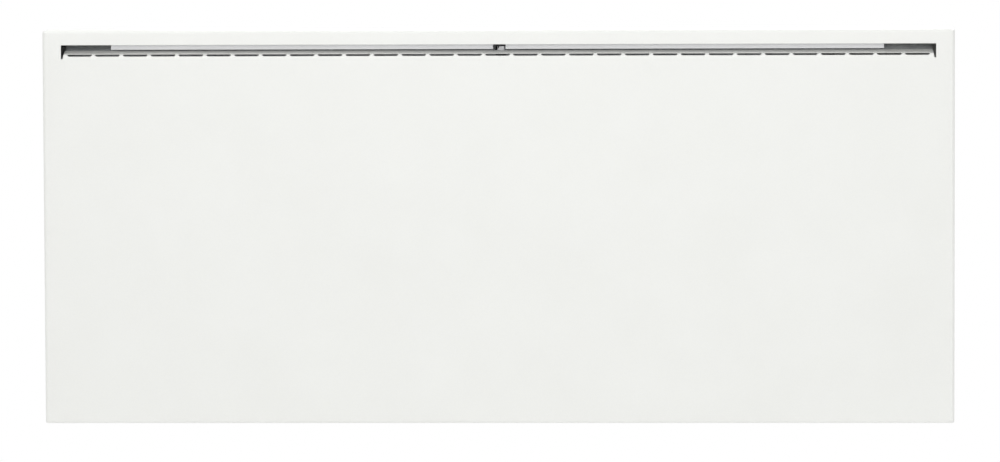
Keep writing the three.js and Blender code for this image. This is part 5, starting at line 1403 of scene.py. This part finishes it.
cover_rows = fold_line(COVER_FRONT_Y, 1, COVER_BEND) + [(0, COVER_BACK_Y)]
every_row = len(cover_rows)
side_lines = [-flat_z, slot_bottom, flat_z]
tray_sides(cover, COVER_HALF_X, COVER_HALF_Z, COVER_CORNER, cover_rows, {
    "left": (side_lines, every_row), "right": (side_lines, every_row),
    "top": ([-flat_x, -SLOT_HALF, SLOT_HALF, flat_x], every_row),
    "bottom": ([-flat_x, *inlet_lines, flat_x], every_row - 1),
})
inlet_strip(
    cover, -COVER_HALF_Z, COVER_HALF_X, COVER_CORNER, flat_x, COVER_INLETS,
    COVER_FRONT_Y + COVER_BEND, COVER_BACK_Y,
)
front_cover = cover.sheet("front_cover_sheet", COVER_SHEET, (0, -1, 0))
white_enamel = surface(
    "white_enamel", (0.862, 0.868, 0.838), (0.885, 0.892, 0.864), (0.34, 0.42), 900, 0.03,
)
finish(front_cover, 0.25, white_enamel, "white_paint", "front_cover", angle=50)

# ---------------------------------------------------------------- top rail
# A folded strip of 1 mm sheet, welded under the cover's top behind the slot. Its rear edge steps
# down to hook under the casing, and a notch in its front clears the release tongue.
RAIL_XS = (-363.4, 361.6)
NOTCH_XS = (-4.35, 7.35)
NOTCH_TOP = 172.6
RAIL_LINE = [(-80, NOTCH_TOP), (-80, 183.7), (-64.2, 183.7), (-63.1, 182.6), (-50, 182.6)]
RAIL_BOTTOM = 167
RAIL_SHEET = 1

rail = Skin()
rail_line = bends(RAIL_LINE, [0, 1.6, 0.6, 0.6, 0], closed=False)
columns = [RAIL_XS[0], *NOTCH_XS, RAIL_XS[1]]
rail.grid([[(x, y, z) for x in columns] for y, z in rail_line])
for left, right in ((columns[0], columns[1]), (columns[2], columns[3])):
    rail.grid([[(x, -80, z) for x in (left, right)] for z in (RAIL_BOTTOM, NOTCH_TOP)])
top_rail = rail.sheet("rail_strip", RAIL_SHEET, (0, -1, 0))
finish(top_rail, 0.2, inner_white, "inner_white_paint", "top_rail")

# ---------------------------------------------------------------- cover screws
# Three zinc-plated screws go up through the bottom flanges; each has a low round head with a
# cross recess.
SCREW_LINE = [
    (0, -186.8), (1.6, -186.75), (2.6, -186.4), (3.2, -185.9), (3.4, -185.3), (1.75, -185.3),
    *thread(1.75, 1.4, 0.8, -185.2, -178.2), (0.4, -177.3), (0, -177.3),
]


def cut_out(piece, *tools):
    for tool in tools:
        gap = piece.modifiers.new("gap", "BOOLEAN")
        gap.operation = "DIFFERENCE"
        gap.solver = "EXACT"
        gap.object = tool
        apply_modifiers(piece)
        bpy.data.objects.remove(tool)


for number, x in enumerate(SCREW_XS, 1):
    screw = as_object(f"flange_screw_{number}", turned(SCREW_LINE, x, SCREW_Y, along_z, 32))
    cut_out(screw, *[
        as_object("recess", plate(block(
            x - reach, x + reach, SCREW_Y - 2.2 + reach, SCREW_Y + 2.2 - reach,
        ), [], -187.5, -186.0, along_z)) for reach in (0.35, 1.85)
    ])
    finish(screw, 0.06, zinc, "zinc_steel", f"cover_screw_{number}")
